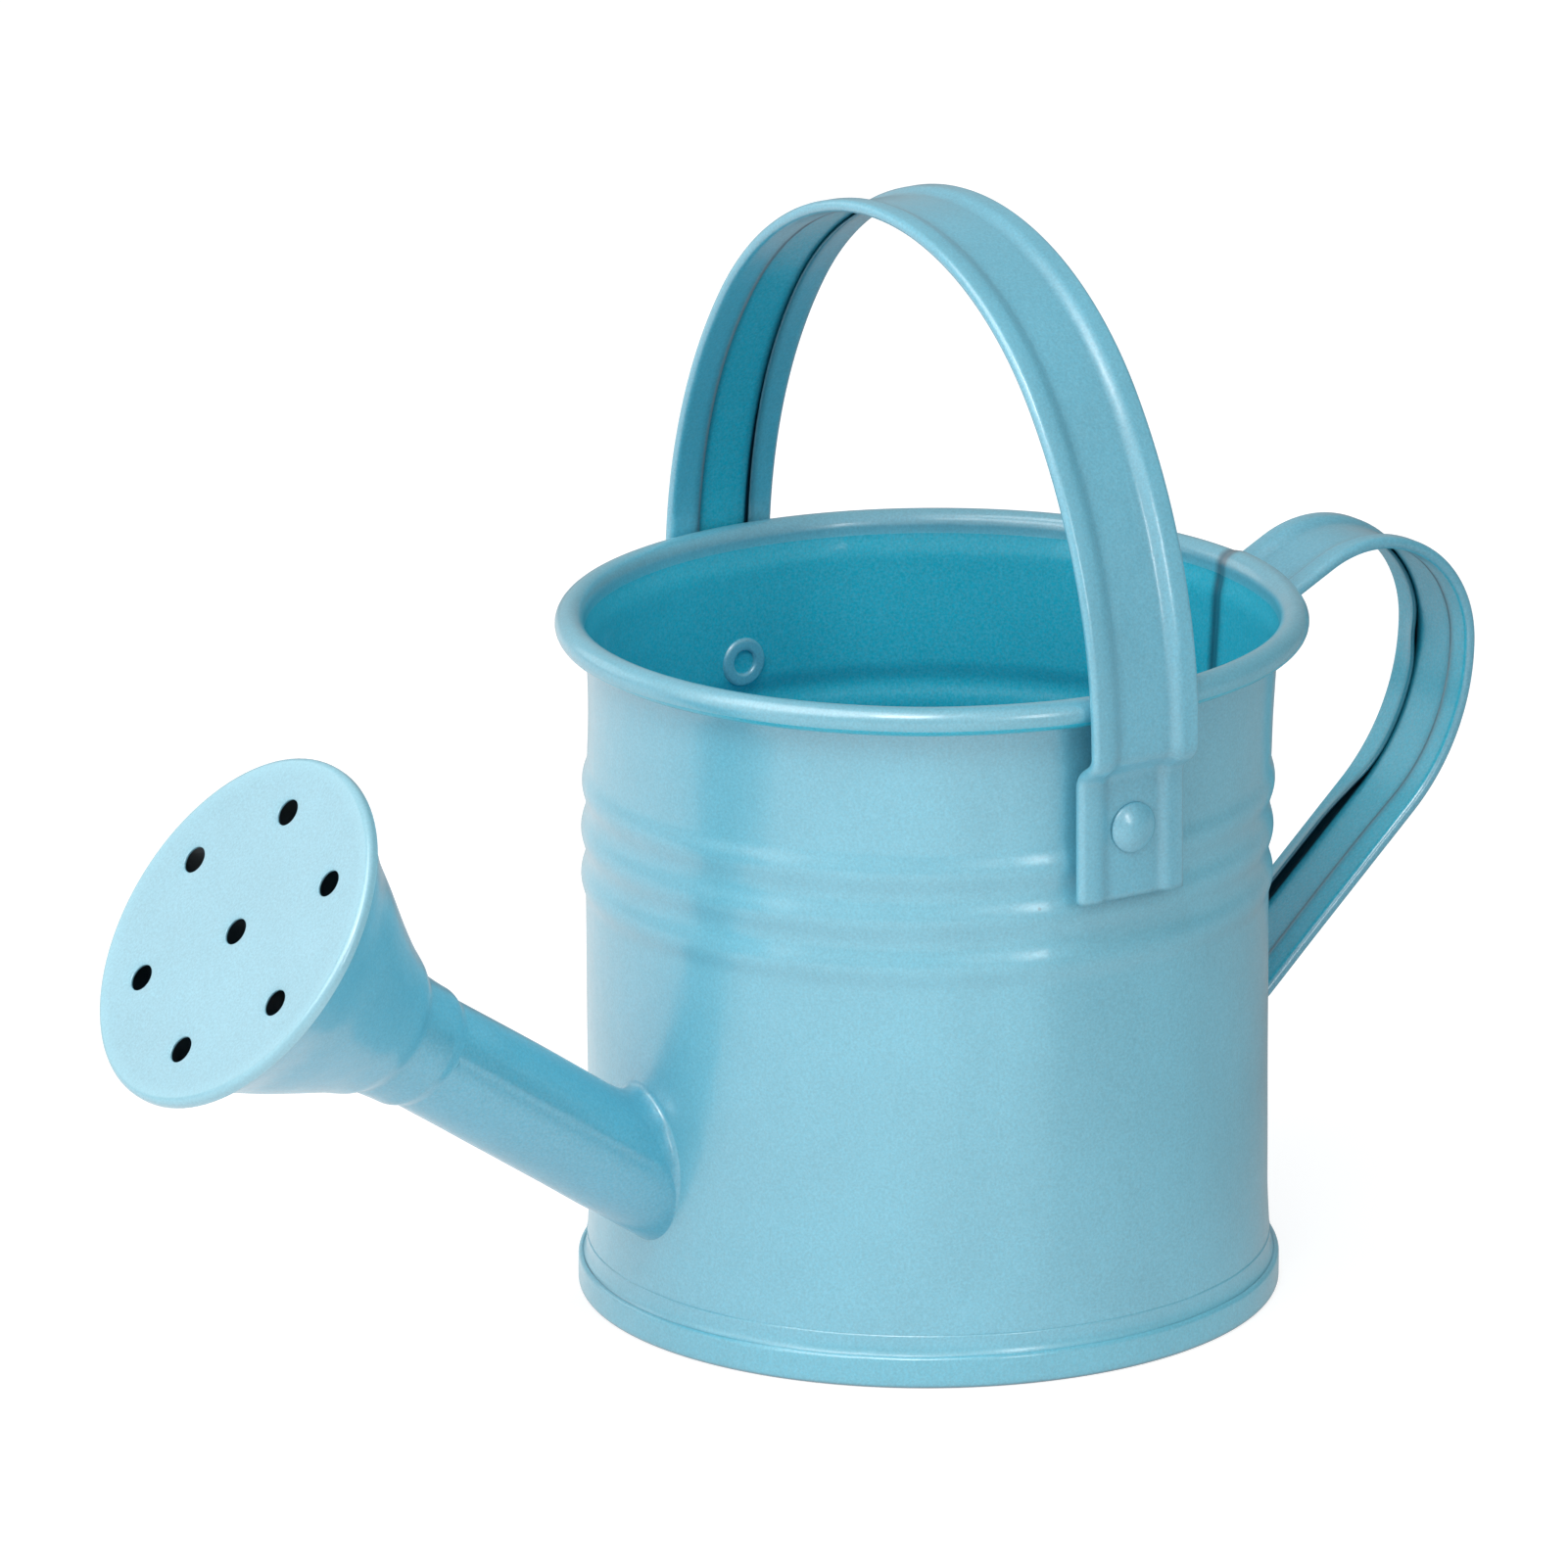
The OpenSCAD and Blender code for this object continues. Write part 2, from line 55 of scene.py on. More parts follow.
VIEW_AZIMUTH = 147.0
log = logging.getLogger("watering_can")


class Side(Enum):
    """The two ends of the bail, by the direction of Y on which each lies."""

    LEFT = 1
    RIGHT = -1


class Axis(Enum):
    """The plane in which a handle strap runs: its outward direction, and the direction of its width."""

    ACROSS = ((0.0, 1.0, 0.0), (1.0, 0.0, 0.0))
    REAR = ((-1.0, 0.0, 0.0), (0.0, 1.0, 0.0))


# ---------------------------------------------------------------- curves and fields


def smooth(x: Grid | float, low: float, high: float) -> Grid:
    """A share that eases from 0 at low to 1 at high.

    Args:
        x: Where the share is read.
        low: Value at which it is still 0.
        high: Value from which it is 1.

    Returns:
        3k^2 - 2k^3 of the clipped share k.
    """
    k = np.clip((np.asarray(x, float) - low) / (high - low), 0.0, 1.0)
    return k * k * (3.0 - 2.0 * k)


def hump(x: Grid | float, centre: float, width: float) -> Grid:
    """A bell of height 1, exp(-((x - centre) / width)^2).

    Args:
        x: Where the bell is read.
        centre: Where it peaks.
        width: Distance at which it has fallen to 1/e.

    Returns:
        The bell's height.
    """
    return np.exp(-(((np.asarray(x, float) - centre) / width) ** 2))


def ripple(a: Grid, b: Grid, seed: int, waves: int = 7) -> Grid:
    """A gentle uneven field: the mean of a few sines of a and b with seeded directions and phases.

    Args:
        a: First coordinate.
        b: Second coordinate.
        seed: Which field.
        waves: How many sines.

    Returns:
        Values mostly between -1 and 1.
    """
    rng = np.random.default_rng(seed)
    k, m, phase = rng.uniform(-1, 1, (2, waves)).tolist() + [rng.uniform(0, 2 * np.pi, waves)]
    total = sum(np.sin(k[i] * a + m[i] * b + phase[i]) for i in range(waves))
    return total / math.sqrt(waves)


def arc(x: float, z: float, r: float, a0: float, a1: float, steps: int) -> Grid:
    """Points of a circle about (x, z) from angle a0 to a1.

    Args:
        x: Centre, first coordinate.
        z: Centre, second coordinate.
        r: Radius.
        a0: First angle.
        a1: Last angle.
        steps: Number of spans.

    Returns:
        The points, steps + 1 of them.
    """
    a = np.radians(np.linspace(a0, a1, steps + 1))
    return np.stack([x + r * np.cos(a), z + r * np.sin(a)], axis=1)


def straight(p: tuple[float, float], q: tuple[float, float], steps: int) -> Grid:
    """Evenly spaced points from p to q, both included."""
    k = np.linspace(0.0, 1.0, steps + 1)[:, None]
    return (1 - k) * np.array(p) + k * np.array(q)


def joined(*parts: Grid) -> Grid:
    """One path from several, without the points that repeat.

    Args:
        *parts: Paths that follow each other.

    Returns:
        Their points in order.
    """
    path = np.vstack(parts)
    step = np.linalg.norm(np.diff(path, axis=0), axis=1)
    return path[np.concatenate([[True], step > 1e-6])]


def normals(path: Grid) -> Grid:
    """Unit normals of a plane path, to the right of its run."""
    d = np.gradient(path, axis=0)
    d /= np.linalg.norm(d, axis=1, keepdims=True)
    return np.stack([d[:, 1], -d[:, 0]], axis=1)


def sheet_loop(path: Grid, thick: float, tip: int = 3) -> Grid:
    """The closed outline of a sheet folded along a path.

    The path is moved half a thickness to its right and, run backwards, half a thickness to its
    left, and each end is closed by a half circle.

    Args:
        path: Middle line of the sheet.
        thick: Thickness of the sheet.
        tip: Points on each half circle between its ends.

    Returns:
        The outline, anticlockwise where the path runs upwards.
    """
    n = normals(path)
    d = np.stack([-n[:, 1], n[:, 0]], axis=1)
    h = thick / 2
    t = np.linspace(0.0, np.pi, tip + 2)[1:-1, None]
    end = path[-1] + h * (np.cos(t) * n[-1] + np.sin(t) * d[-1])
    start = path[0] - h * (np.cos(t) * n[0] + np.sin(t) * d[0])
    return np.vstack([path + h * n, end, (path - h * n)[::-1], start])


# ---------------------------------------------------------------- meshes


def grid_quads(rows: int, cols: int, wrap_rows: bool, wrap_cols: bool) -> Index:
    """The four corner numbers of each cell of a grid, with corner (i, j) numbered i * cols + j.

    Args:
        rows: Rows of the grid.
        cols: Columns of the grid.
        wrap_rows: Whether the last row joins the first.
        wrap_cols: Whether the last column joins the first.

    Returns:
        One line of four numbers per cell, facing along row direction x column direction.
    """
    i = np.arange(rows if wrap_rows else rows - 1)
    j = np.arange(cols if wrap_cols else cols - 1)
    i, j = np.meshgrid(i, j, indexing="ij")
    i1, j1 = (i + 1) % rows, (j + 1) % cols
    quads = np.stack([i * cols + j, i1 * cols + j, i1 * cols + j1, i * cols + j1], axis=-1)
    return quads.reshape(-1, 4)


def make_piece(
    name: str,
    points: Grid,
    quads: Index,
    fields: dict[str, Grid] | None = None,
    weld: float = 1e-4,
) -> bpy.types.Object:
    """Writes a smooth mesh object from corner positions and cells.

    Corners that coincide become one, and a cell that loses a corner by it becomes a triangle.

    Args:
        name: Name of the piece.
        points: Corner positions.
        quads: Corner numbers of the cells.
        fields: Values per corner, stored as attributes of the mesh.
        weld: Grid on which corners count as the same.

    Returns:
        The new object, with its faces turned outwards.
    """
    flat = points.reshape(-1, 3)
    _, first, back = np.unique(
        np.round(flat / weld).astype(np.int64), axis=0, return_index=True, return_inverse=True
    )
    cells = back.reshape(-1)[quads]
    kept = cells != np.roll(cells, 1, axis=1)
    total = kept.sum(axis=1)
    good = total >= 3
    cells, kept, total = cells[good], kept[good], total[good]
    loops = cells[kept]
    starts = np.concatenate([[0], np.cumsum(total)[:-1]])
    mesh = bpy.data.meshes.new(name)
    mesh.vertices.add(len(first))
    mesh.vertices.foreach_set("co", (flat[first] * MM).astype(np.float32).ravel())
    mesh.loops.add(len(loops))
    mesh.loops.foreach_set("vertex_index", loops.astype(np.int32))
    mesh.polygons.add(len(starts))
    mesh.polygons.foreach_set("loop_start", starts.astype(np.int32))
    mesh.update(calc_edges=True)
    mesh.validate()
    for key, values in (fields or {}).items():
        layer = mesh.attributes.new(key, "FLOAT", "POINT")
        layer.data.foreach_set("value", values.reshape(-1)[first].astype(np.float32))
    work = bmesh.new()
    work.from_mesh(mesh)
    bmesh.ops.recalc_face_normals(work, faces=work.faces)
    work.to_mesh(mesh)
    work.free()
    mesh.polygons.foreach_set("use_smooth", np.ones(len(mesh.polygons), bool))
    mesh.update()
    piece = bpy.data.objects.new(name, mesh)
    bpy.context.scene.collection.objects.link(piece)
    return piece


def settle(piece: bpy.types.Object, body: str, slot: str, *nodes: str) -> bpy.types.Object:
    """Ties a piece to its body and hides the solids it stands for.

    Args:
        piece: The new piece.
        body: Body that carries it.
        slot: Not used.
        *nodes: Solids that it replaces.

    Returns:
        The piece.
    """
    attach(piece, body)
    if nodes:
        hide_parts(*nodes)
    log.info("%s: %d faces, for %s", piece.name, len(piece.data.polygons), ", ".join(nodes) or "no solid")
    return piece


def revolved(loop: Grid, turns: Grid) -> Grid:
    """Turns a profile about Z: point (r, z) at angle t goes to (r cos t, r sin t, z).

    Args:
        loop: Profile points (r, z).
        turns: Angles in radians.

    Returns:
        A grid of angles by profile points.
    """
    r, z = loop[None, :, 0], loop[None, :, 1]
    t = turns[:, None]
    return np.stack([r * np.cos(t), r * np.sin(t), z + 0 * t], axis=-1)


def full_turn(steps: int) -> Grid:
    """Angles of one whole turn, the last one left out."""
    return np.linspace(0.0, 2 * np.pi, steps, endpoint=False)


# ---------------------------------------------------------------- finishes


@dataclass(frozen=True)
class Enamel:
    """Glossy spray enamel over tin sheet.

    The colour is broken up by a fine grain, a soft mottle and sparse dark pits. One mesh field
    darkens it with painted shade in folds, gaps and hollows, another pales it with painted
    highlights along edges, and the field "inside" mixes in a more saturated teal: painted bounce
    light and shade for faces lit mostly by light bounced between the can's enamelled faces.
    """

    name: str
    tint: tuple[float, float, float]
    deep: tuple[float, float, float] = (0.002, 0.045, 0.085)
    pale: tuple[float, float, float] = (0.30, 0.68, 0.80)
    # Painted bounce light: the more saturated teal of faces lit mostly by light bounced off the enamel.
    bounce_tint: tuple[float, float, float] = (0.002, 0.54, 0.72)
    rough: float = 0.45
    ior: float = 2.2
    coat: float = 1.0
    coat_ior: float = 1.8
    coat_rough: float = 0.21
    peel: float = 0.16
    grain: float = 0.12
    mottle: float = 0.05
    pits: float = 0.5

    def material(self) -> bpy.types.Material:
        """Builds the node tree.

        Returns:
            The material.
        """
        mat = bpy.data.materials.new(self.name)
        mat.use_nodes = True
        tree = mat.node_tree
        shader = next(n for n in tree.nodes if n.type == "BSDF_PRINCIPLED")
        where = tree.nodes.new("ShaderNodeTexCoord").outputs["Object"]
        colour = self._colour(tree, where)
        tree.links.new(colour, shader.inputs["Base Color"])
        rough = self._spread(tree, self._noise(tree, where, 420.0, 3.0), self.rough - 0.05, self.rough + 0.07)
        tree.links.new(rough, shader.inputs["Roughness"])
        shader.inputs["Coat Weight"].default_value = self.coat
        shader.inputs["Coat Roughness"].default_value = self.coat_rough
        shader.inputs["Coat IOR"].default_value = self.coat_ior
        shader.inputs["IOR"].default_value = self.ior
        tree.links.new(self._relief(tree, where), shader.inputs["Normal"])
        tree.links.new(self._relief(tree, where, 0.5), shader.inputs["Coat Normal"])
        return mat

    def _noise(
        self, tree: bpy.types.NodeTree, where: bpy.types.NodeSocket, scale: float, detail: float
    ) -> bpy.types.NodeSocket:
        """A noise texture's value.

        Args:
            tree: The material's nodes.
            where: Coordinates, in metres.
            scale: Features per metre.
            detail: Octaves.

        Returns:
            The value's socket.
        """
        node = tree.nodes.new("ShaderNodeTexNoise")
        node.inputs["Scale"].default_value = scale
        node.inputs["Detail"].default_value = detail
        node.inputs["Roughness"].default_value = 0.6
        tree.links.new(where, node.inputs["Vector"])
        return node.outputs["Fac"]

    def _spread(
        self,
        tree: bpy.types.NodeTree,
        value: bpy.types.NodeSocket,
        low: float,
        high: float,
        start: float = 0.3,
        end: float = 0.7,
    ) -> bpy.types.NodeSocket:
        """Maps a value from start..end to low..high, and clips it there.

        Args:
            tree: The material's nodes.
            value: What is mapped.
            low: Result at start.
            high: Result at end.
            start: Value that gives low.
            end: Value that gives high.

        Returns:
            The result's socket.
        """
        node = tree.nodes.new("ShaderNodeMapRange")
        for key, number in (("From Min", start), ("From Max", end), ("To Min", low), ("To Max", high)):
            node.inputs[key].default_value = number
        tree.links.new(value, node.inputs["Value"])
        return node.outputs["Result"]

    def _blend(
        self,
        tree: bpy.types.NodeTree,
        share: bpy.types.NodeSocket,
        first: bpy.types.NodeSocket | tuple[float, float, float],
        second: bpy.types.NodeSocket | tuple[float, float, float],
    ) -> bpy.types.NodeSocket:
        """Mixes two colours by a share.

        Args:
            tree: The material's nodes.
            share: 0 gives the first colour and 1 the second.
            first: A socket or a fixed colour.
            second: A socket or a fixed colour.

        Returns:
            The mixed colour's socket.
        """
        node = tree.nodes.new("ShaderNodeMix")
        node.data_type = "RGBA"
        tree.links.new(share, node.inputs[0])
        for socket, colour in ((node.inputs[6], first), (node.inputs[7], second)):
            if isinstance(colour, tuple):
                socket.default_value = (*colour, 1.0)
            else:
                tree.links.new(colour, socket)
        return node.outputs[2]

    def _field(self, tree: bpy.types.NodeTree, key: str) -> bpy.types.NodeSocket:
        """Value of a mesh field, 0 where a mesh lacks it."""
        node = tree.nodes.new("ShaderNodeAttribute")
        node.attribute_name = key
        return node.outputs["Fac"]

    def _shade(self, factor: float) -> tuple[float, float, float]:
        """The tint times a factor."""
        return tuple(min(1.0, c * factor) for c in self.tint)

    def _colour(self, tree: bpy.types.NodeTree, where: bpy.types.NodeSocket) -> bpy.types.NodeSocket:
        """Tint with mottle, painted bounce light, grain, pits, painted highlights and painted shade, in that
        order.

        Args:
            tree: The material's nodes.
            where: Coordinates, in metres.

        Returns:
            The colour's socket.
        """
        mottle = self._spread(tree, self._noise(tree, where, 55.0, 2.0), 0.0, 1.0)
        colour = self._blend(tree, mottle, self._shade(1 - self.mottle), self._shade(1 + self.mottle))
        # Painted bounce light where the field "inside" is set.
        colour = self._blend(tree, self._field(tree, "inside"), colour, self.bounce_tint)
        grain = self._spread(tree, self._noise(tree, where, 2400.0, 2.0), 0.0, 2.0 * self.grain)
        colour = self._blend(tree, grain, colour, self.pale)
        shade = self._spread(tree, self._noise(tree, where, 2900.0, 2.0), 0.0, 2.0 * self.grain)
        colour = self._blend(tree, shade, colour, self.deep)
        cells = tree.nodes.new("ShaderNodeTexVoronoi")
        cells.inputs["Scale"].default_value = 95.0
        tree.links.new(where, cells.inputs["Vector"])
        spot = self._spread(tree, cells.outputs["Distance"], 1.0, 0.0, 0.018, 0.032)
        some = self._spread(tree, self._noise(tree, where, 70.0, 0.0), 0.0, self.pits, 0.60, 0.63)
        both = tree.nodes.new("ShaderNodeMath")
        both.operation = "MULTIPLY"
        tree.links.new(spot, both.inputs[0])
        tree.links.new(some, both.inputs[1])
        colour = self._blend(tree, both.outputs[0], colour, self.deep)
        # Painted highlights from a mesh field.
        colour = self._blend(tree, self._field(tree, "painted_highlight"), colour, self.pale)
        # Painted shade from a mesh field.
        return self._blend(tree, self._field(tree, "painted_shade"), colour, self.deep)

    def _relief(
        self, tree: bpy.types.NodeTree, where: bpy.types.NodeSocket, share: float = 1.0
    ) -> bpy.types.NodeSocket:
        """Bump of the sprayed paint: a wide orange peel with a fine grain on it.

        Args:
            tree: The material's nodes.
            where: Coordinates, in metres.
            share: How much of the peel shows.

        Returns:
            The normal's socket.
        """
        wide = tree.nodes.new("ShaderNodeBump")
        wide.inputs["Strength"].default_value = self.peel * share
        wide.inputs["Distance"].default_value = 0.0006
        tree.links.new(self._noise(tree, where, 260.0, 2.0), wide.inputs["Height"])
        fine = tree.nodes.new("ShaderNodeBump")
        fine.inputs["Strength"].default_value = self.peel * share
        fine.inputs["Distance"].default_value = 0.00008
        tree.links.new(self._noise(tree, where, 1700.0, 2.0), fine.inputs["Height"])
        tree.links.new(wide.outputs["Normal"], fine.inputs["Normal"])
        return fine.outputs["Normal"]


@dataclass(frozen=True)
class Compound(Enamel):
    """Matte sealing compound in a folded seam."""

    rough: float = 0.75
    coat: float = 0.0
    pits: float = 0.2


# One sky enamel covers the whole can; each piece's copy is tinted paler, greyer or deeper to paint in the
# light and shade that fall on it. The copies for inner faces and under the rear handle paint a more
# saturated, bounce-lit teal there, with weaker reflections.
CAN_PAINT = Enamel("sky enamel on the can", (0.13, 0.55, 0.71))
SPOUT_PAINT = Enamel("sky enamel on the spout", (0.02, 0.43, 0.62), peel=0.2)
ROSE_PAINT = Enamel("sky enamel on the rose", (0.24, 0.57, 0.70), peel=0.12, mottle=0.04)
HANDLE_PAINT = Enamel("sky enamel on the rear handle", (0.05, 0.42, 0.58), peel=0.25)
BAIL_PAINT = Enamel("sky enamel on the bail", (0.10, 0.50, 0.67), peel=0.22)
RIVET_PAINT = Enamel("sky enamel on the rivets", (0.12, 0.52, 0.69), peel=0.2, pits=0.0)
BOUNCE_LIT_PAINT = Enamel(
    "sky enamel on inner faces", (0.002, 0.54, 0.72), ior=1.45, coat_ior=1.4, coat_rough=0.11
)
UNDER_PAINT = Enamel("sky enamel under the handle", (0.03, 0.50, 0.64), ior=1.6, coat_ior=1.5)
SEAM_COMPOUND = Compound(
    "sealing compound", (0.11, 0.12, 0.12), deep=(0.02, 0.02, 0.02), pale=(0.2, 0.2, 0.2)
)


class Dresser:
    """Gives each finish one material, and keeps it for the next piece."""

    def __init__(self) -> None:
        """Starts with no material made."""
        self._made: dict[str, bpy.types.Material] = {}

    def _material(self, finish: Enamel) -> bpy.types.Material:
        """The finish's material, made on first use."""
        if finish.name not in self._made:
            self._made[finish.name] = finish.material()
        return self._made[finish.name]

    def dress(self, piece: bpy.types.Object, finish: Enamel, bounce_finish: Enamel | None = None) -> None:
        """Puts a finish on every face of a piece, or on its inner faces a second one that paints in bounce
        light.

        Args:
            piece: The piece or carried-over solid.
            finish: What it is painted with.
            bounce_finish: Copy with painted bounce light for the faces whose field "inside" is over one half.
        """
        slots = piece.data.materials
        for i in range(len(slots)):
            slots[i] = self._material(finish)
        if not slots:
            slots.append(self._material(finish))
        if bounce_finish is None:
            return
        slots.append(self._material(bounce_finish))
        mesh = piece.data
        value = np.zeros(len(mesh.vertices), np.float32)
        mesh.attributes["inside"].data.foreach_get("value", value)
        corner, start = np.zeros(len(mesh.loops), np.int32), np.zeros(len(mesh.polygons), np.int32)
        mesh.loops.foreach_get("vertex_index", corner)
        mesh.polygons.foreach_get("loop_start", start)
        share = np.minimum.reduceat(value[corner], start)
        mesh.polygons.foreach_set("material_index", np.where(share > 0.5, len(slots) - 1, 0).astype(np.int32))
        mesh.update()


# ---------------------------------------------------------------- the can


@dataclass
class CanBody:
    """The rolled wall with its curled rim and ring beads, and the folded foot with the base."""

    wall_r: float = 50.0
    body_h: float = 101.8
    sheet: float = 0.4
    curl_r: float = 2.1
    curl_offset: float = 0.75
    throat_h: float = 5.0
    bead_count: int = 3
    bead_pitch: float = 7.0
    bead_rise: float = 0.65
    bead_drop: float = 22.1
    seam_h: float = 4.7
    base_recess: float = 4.0
    base_bend_r: float = 1.2
    foot_bend_r: float = 0.45
    seam_play: float = 0.02
    flow_h: float = 2.9
    hairline: float = 0.12
    hole_r: float = 8.65
    spout_angle: float = 34.17
    spout_root_z: float = 25.6
    seam_turn: float = 179.1
    rim_shift: tuple[float, float] = (-0.9, 0.1)
    flats: tuple[tuple[float, float], ...] = (
        (55.0, 0.22),
        (67.2, -0.14),
        (77.2, 0.22),
        (30.0, 0.08),
        (104.0, 0.10),
    )
    lap_depth: float = 0.34
    groove_depth: float = 0.18
    columns: int = 336
    straight_points: int = 48
    bead_points: int = 43
    neck_points: int = 12
    window_half: tuple[int, int] = (18, 13)

    @property
    def wall_mid(self) -> float:
        """Radius of the middle of the wall's sheet."""
        return self.wall_r - self.sheet / 2

    @property
    def beads_foot_z(self) -> float:
        """Height of the lower end of the ring beads."""
        return self.body_h - self.bead_drop - self.bead_count * self.bead_pitch

    @property
    def seam_line(self) -> float:
        """Angle of the side seam's inner edge, in radians."""
        return math.radians(self.seam_turn) - 0.006

    def bead_at(self, z: Grid) -> Grid:
        """Height of the ring beads: half of 1 - cos over each pitch.

        Args:
            z: Heights above the ground.

        Returns:
            How far the wall stands out there.
        """
        k = (z - self.beads_foot_z) / self.bead_pitch
        inside = (k > 0) & (k < self.bead_count)
        sharp = ((1 - np.cos(2 * np.pi * k)) / 2) ** 1.15
        return np.where(inside, self.bead_rise * sharp, 0.0)

    def wall_path(self) -> Grid:
        """Middle line (r, z) of the wall: straight, beaded, flared at the throat, then curled outwards.

        Returns:
            The path from the foot up.
        """
        curl_in = self.wall_r - self.sheet + self.curl_offset
        curl_z = self.body_h - self.curl_r
        throat_z = curl_z - self.throat_h
        beads_top_z = self.beads_foot_z + self.bead_count * self.bead_pitch
        z = np.concatenate(
            [
                np.linspace(1.0, self.beads_foot_z, self.straight_points),
                np.linspace(self.beads_foot_z, beads_top_z, self.bead_points),
                np.linspace(beads_top_z, throat_z, self.neck_points),
            ]
        )
        rise = np.stack([self.wall_mid + self.bead_at(z), z], axis=1)
        k = np.linspace(0.0, 1.0, 10)
        out = self.curl_offset * (1 - np.cos(np.pi * k)) / 2
        throat = np.stack([self.wall_mid + out, throat_z + self.throat_h * k], axis=1)
        curl = arc(curl_in + self.curl_r, curl_z, self.curl_r - self.sheet / 2, 172, -130, 24)
        return joined(rise, throat, curl)

    def turns(self) -> Grid:
        """Angles of the wall's columns: even, with a few more on each side of the side seam.

        Returns:
            Angles in radians, starting at the spout.
        """
        even = np.linspace(0.0, 360.0, self.columns, endpoint=False)
        near = self.seam_turn - 0.35 + np.linspace(-1.0, 1.0, 13)
        even = even[np.abs(even - self.seam_turn + 0.35) > 1.3]
        return np.radians(np.sort(np.concatenate([even, near])))

    def hole_curve(self, turn: Grid, r: Grid) -> tuple[Grid, Grid]:
        """Where a wall of radius r meets the rod of the spout's hole.

        A point of the rod at the angle a has y = h cos a and lies h sin a off its axis in the XZ
        plane. The wall gives x from y, and the slope of the axis gives z.

        Args:
            turn: Angle round the rod.
            r: Radius of the wall's face.

        Returns:
            Angle round the can and height of each point.
        """
        slope = math.radians(self.spout_angle)
        y = self.hole_r * np.cos(turn)
        x = np.sqrt(r**2 - y**2)
        off = self.hole_r * np.sin(turn)
        z = self.spout_root_z + (off + math.sin(slope) * (x - self.wall_r)) / math.cos(slope)
        return np.arctan2(y, x), z

    def build_wall(self) -> bpy.types.Object:
        """The wall as one surface of angle and profile, opened at the spout.

        Round the spout, the cells of a square window are eased from the window's edge to the
        hole's curve, those within half of it are left out, and a band joins the two faces there.
        Each point is then moved outwards by slow ripples, and towards the rim by its set.

        Returns:
            The wall.
        """
        path = self.wall_path()
        loop = sheet_loop(path, self.sheet)
        turns = self.turns()
        rows, cols = len(turns), len(loop)
        count = len(path)
        t = np.broadcast_to(turns[:, None], (rows, cols)).copy()
        r = np.broadcast_to(loop[None, :, 0], (rows, cols)).copy()
        z = np.broadcast_to(loop[None, :, 1], (rows, cols)).copy()
        middle = int(np.argmin(np.abs(path[: self.straight_points, 1] - self.spout_root_z)))
        across = (np.arange(rows) + rows // 2) % rows - rows // 2
        across = np.where(across >= rows // 2, across - rows, across)
        position = np.full(cols, 10_000)
        position[:count] = np.arange(count) - middle
        inner = count + 3 + (count - 1 - np.arange(count))
        position[inner] = np.arange(count) - middle
        a = across[:, None] / self.window_half[0] + 0.0 * position[None, :]
        b = position[None, :] / self.window_half[1] + 0.0 * across[:, None]
        reach = np.maximum(np.abs(a), np.abs(b))
        rim_t, rim_z = self.hole_curve(np.arctan2(b, a), r)
        ease = np.clip((reach - 0.5) / 0.5, 0.0, 1.0)
        t_signed = np.where(t > np.pi, t - 2 * np.pi, t)
        t = np.where(reach < 1.0, rim_t + (t_signed - rim_t) * ease, t)
        z = np.where(reach < 1.0, rim_z + (z - rim_z) * ease, z)
        quads = grid_quads(rows, cols, True, True)
        quads = quads[~(reach.reshape(-1)[quads] <= 0.5 + 1e-9).all(axis=1)]
        quads = np.vstack([quads, self._hole_band(across, cols, middle, inner)])
        face_in = np.zeros((1, cols), bool)
        face_in[0, inner] = True
        n = np.zeros((cols, 2))
        n[:count] = normals(path)
        n[inner] = -normals(path)
        shift = self._seam_shift(t, z, face_in)
        r = r + n[None, :, 0] * shift
        z = z + n[None, :, 1] * shift
        r = r + self.uneven(t, z)
        points = np.stack([r * np.cos(t), r * np.sin(t), z], axis=-1)
        lift = smooth(z, 62.0, 100.0)
        points[..., 0] += self.rim_shift[0] * lift
        points[..., 1] += self.rim_shift[1] * lift
        # Painted bounce light: the inner face takes the more saturated teal and the bounce-lit copy of the
        # enamel, fading out just under the rim.
        inside = face_in * (1 - smooth(z, self.body_h - 4.4, self.body_h - 1.8))
        fields = {"painted_shade": self._wall_painted_shade(t, r, z, face_in), "inside": inside}
        return make_piece("can_wall", points, quads, fields)

    def _seam_shift(self, t: Grid, z: Grid, face_in: Grid) -> Grid:
        """How far the side seam's lap moves the inner face off the middle of the sheet.

        Args:
            t: Angle round the can.
            z: Height.
            face_in: Where the points lie on the inner face.

        Returns:
            The shift along the sheet's normal.
        """
        seam = math.radians(self.seam_turn)
        lap = smooth(t, seam - 0.45, seam - 0.10) * (t < seam - 0.002)
        groove = hump(t, self.seam_line, 0.011) * smooth(z, 8.0, 60.0)
        return np.where(face_in, self.lap_depth * lap - self.groove_depth * groove, 0.0)

    def _wall_painted_shade(self, t: Grid, r: Grid, z: Grid, face_in: Grid) -> Grid:
        """Painted shade on the wall: along the seam's inner edge, under the curl and, faintly, over the top
        of the curl.

        Args:
            t: Angle round the can.
            r: Radius.
            z: Height.
            face_in: Where the points lie on the inner face.

        Returns:
            The share of painted shade.
        """
        high = 0.45 + 0.55 * smooth(z, 70.0, 92.0)
        seam = 1.8 * np.where(face_in, hump(t, self.seam_line, 0.014 + 0.009 * high) * high, 0.0)
        curl_mid = (self.body_h - self.curl_r, 52.45)
        under = hump(np.degrees(np.arctan2(z - curl_mid[0], r - curl_mid[1])), -125.0, 25.0)
        painted_shade = np.maximum(seam.clip(0.0, 0.8), 0.35 * under * (z > 95.0) * (r > 50.2))
        return np.maximum(painted_shade, 0.13 * smooth(z, self.body_h - 4.0, self.body_h - 1.5))

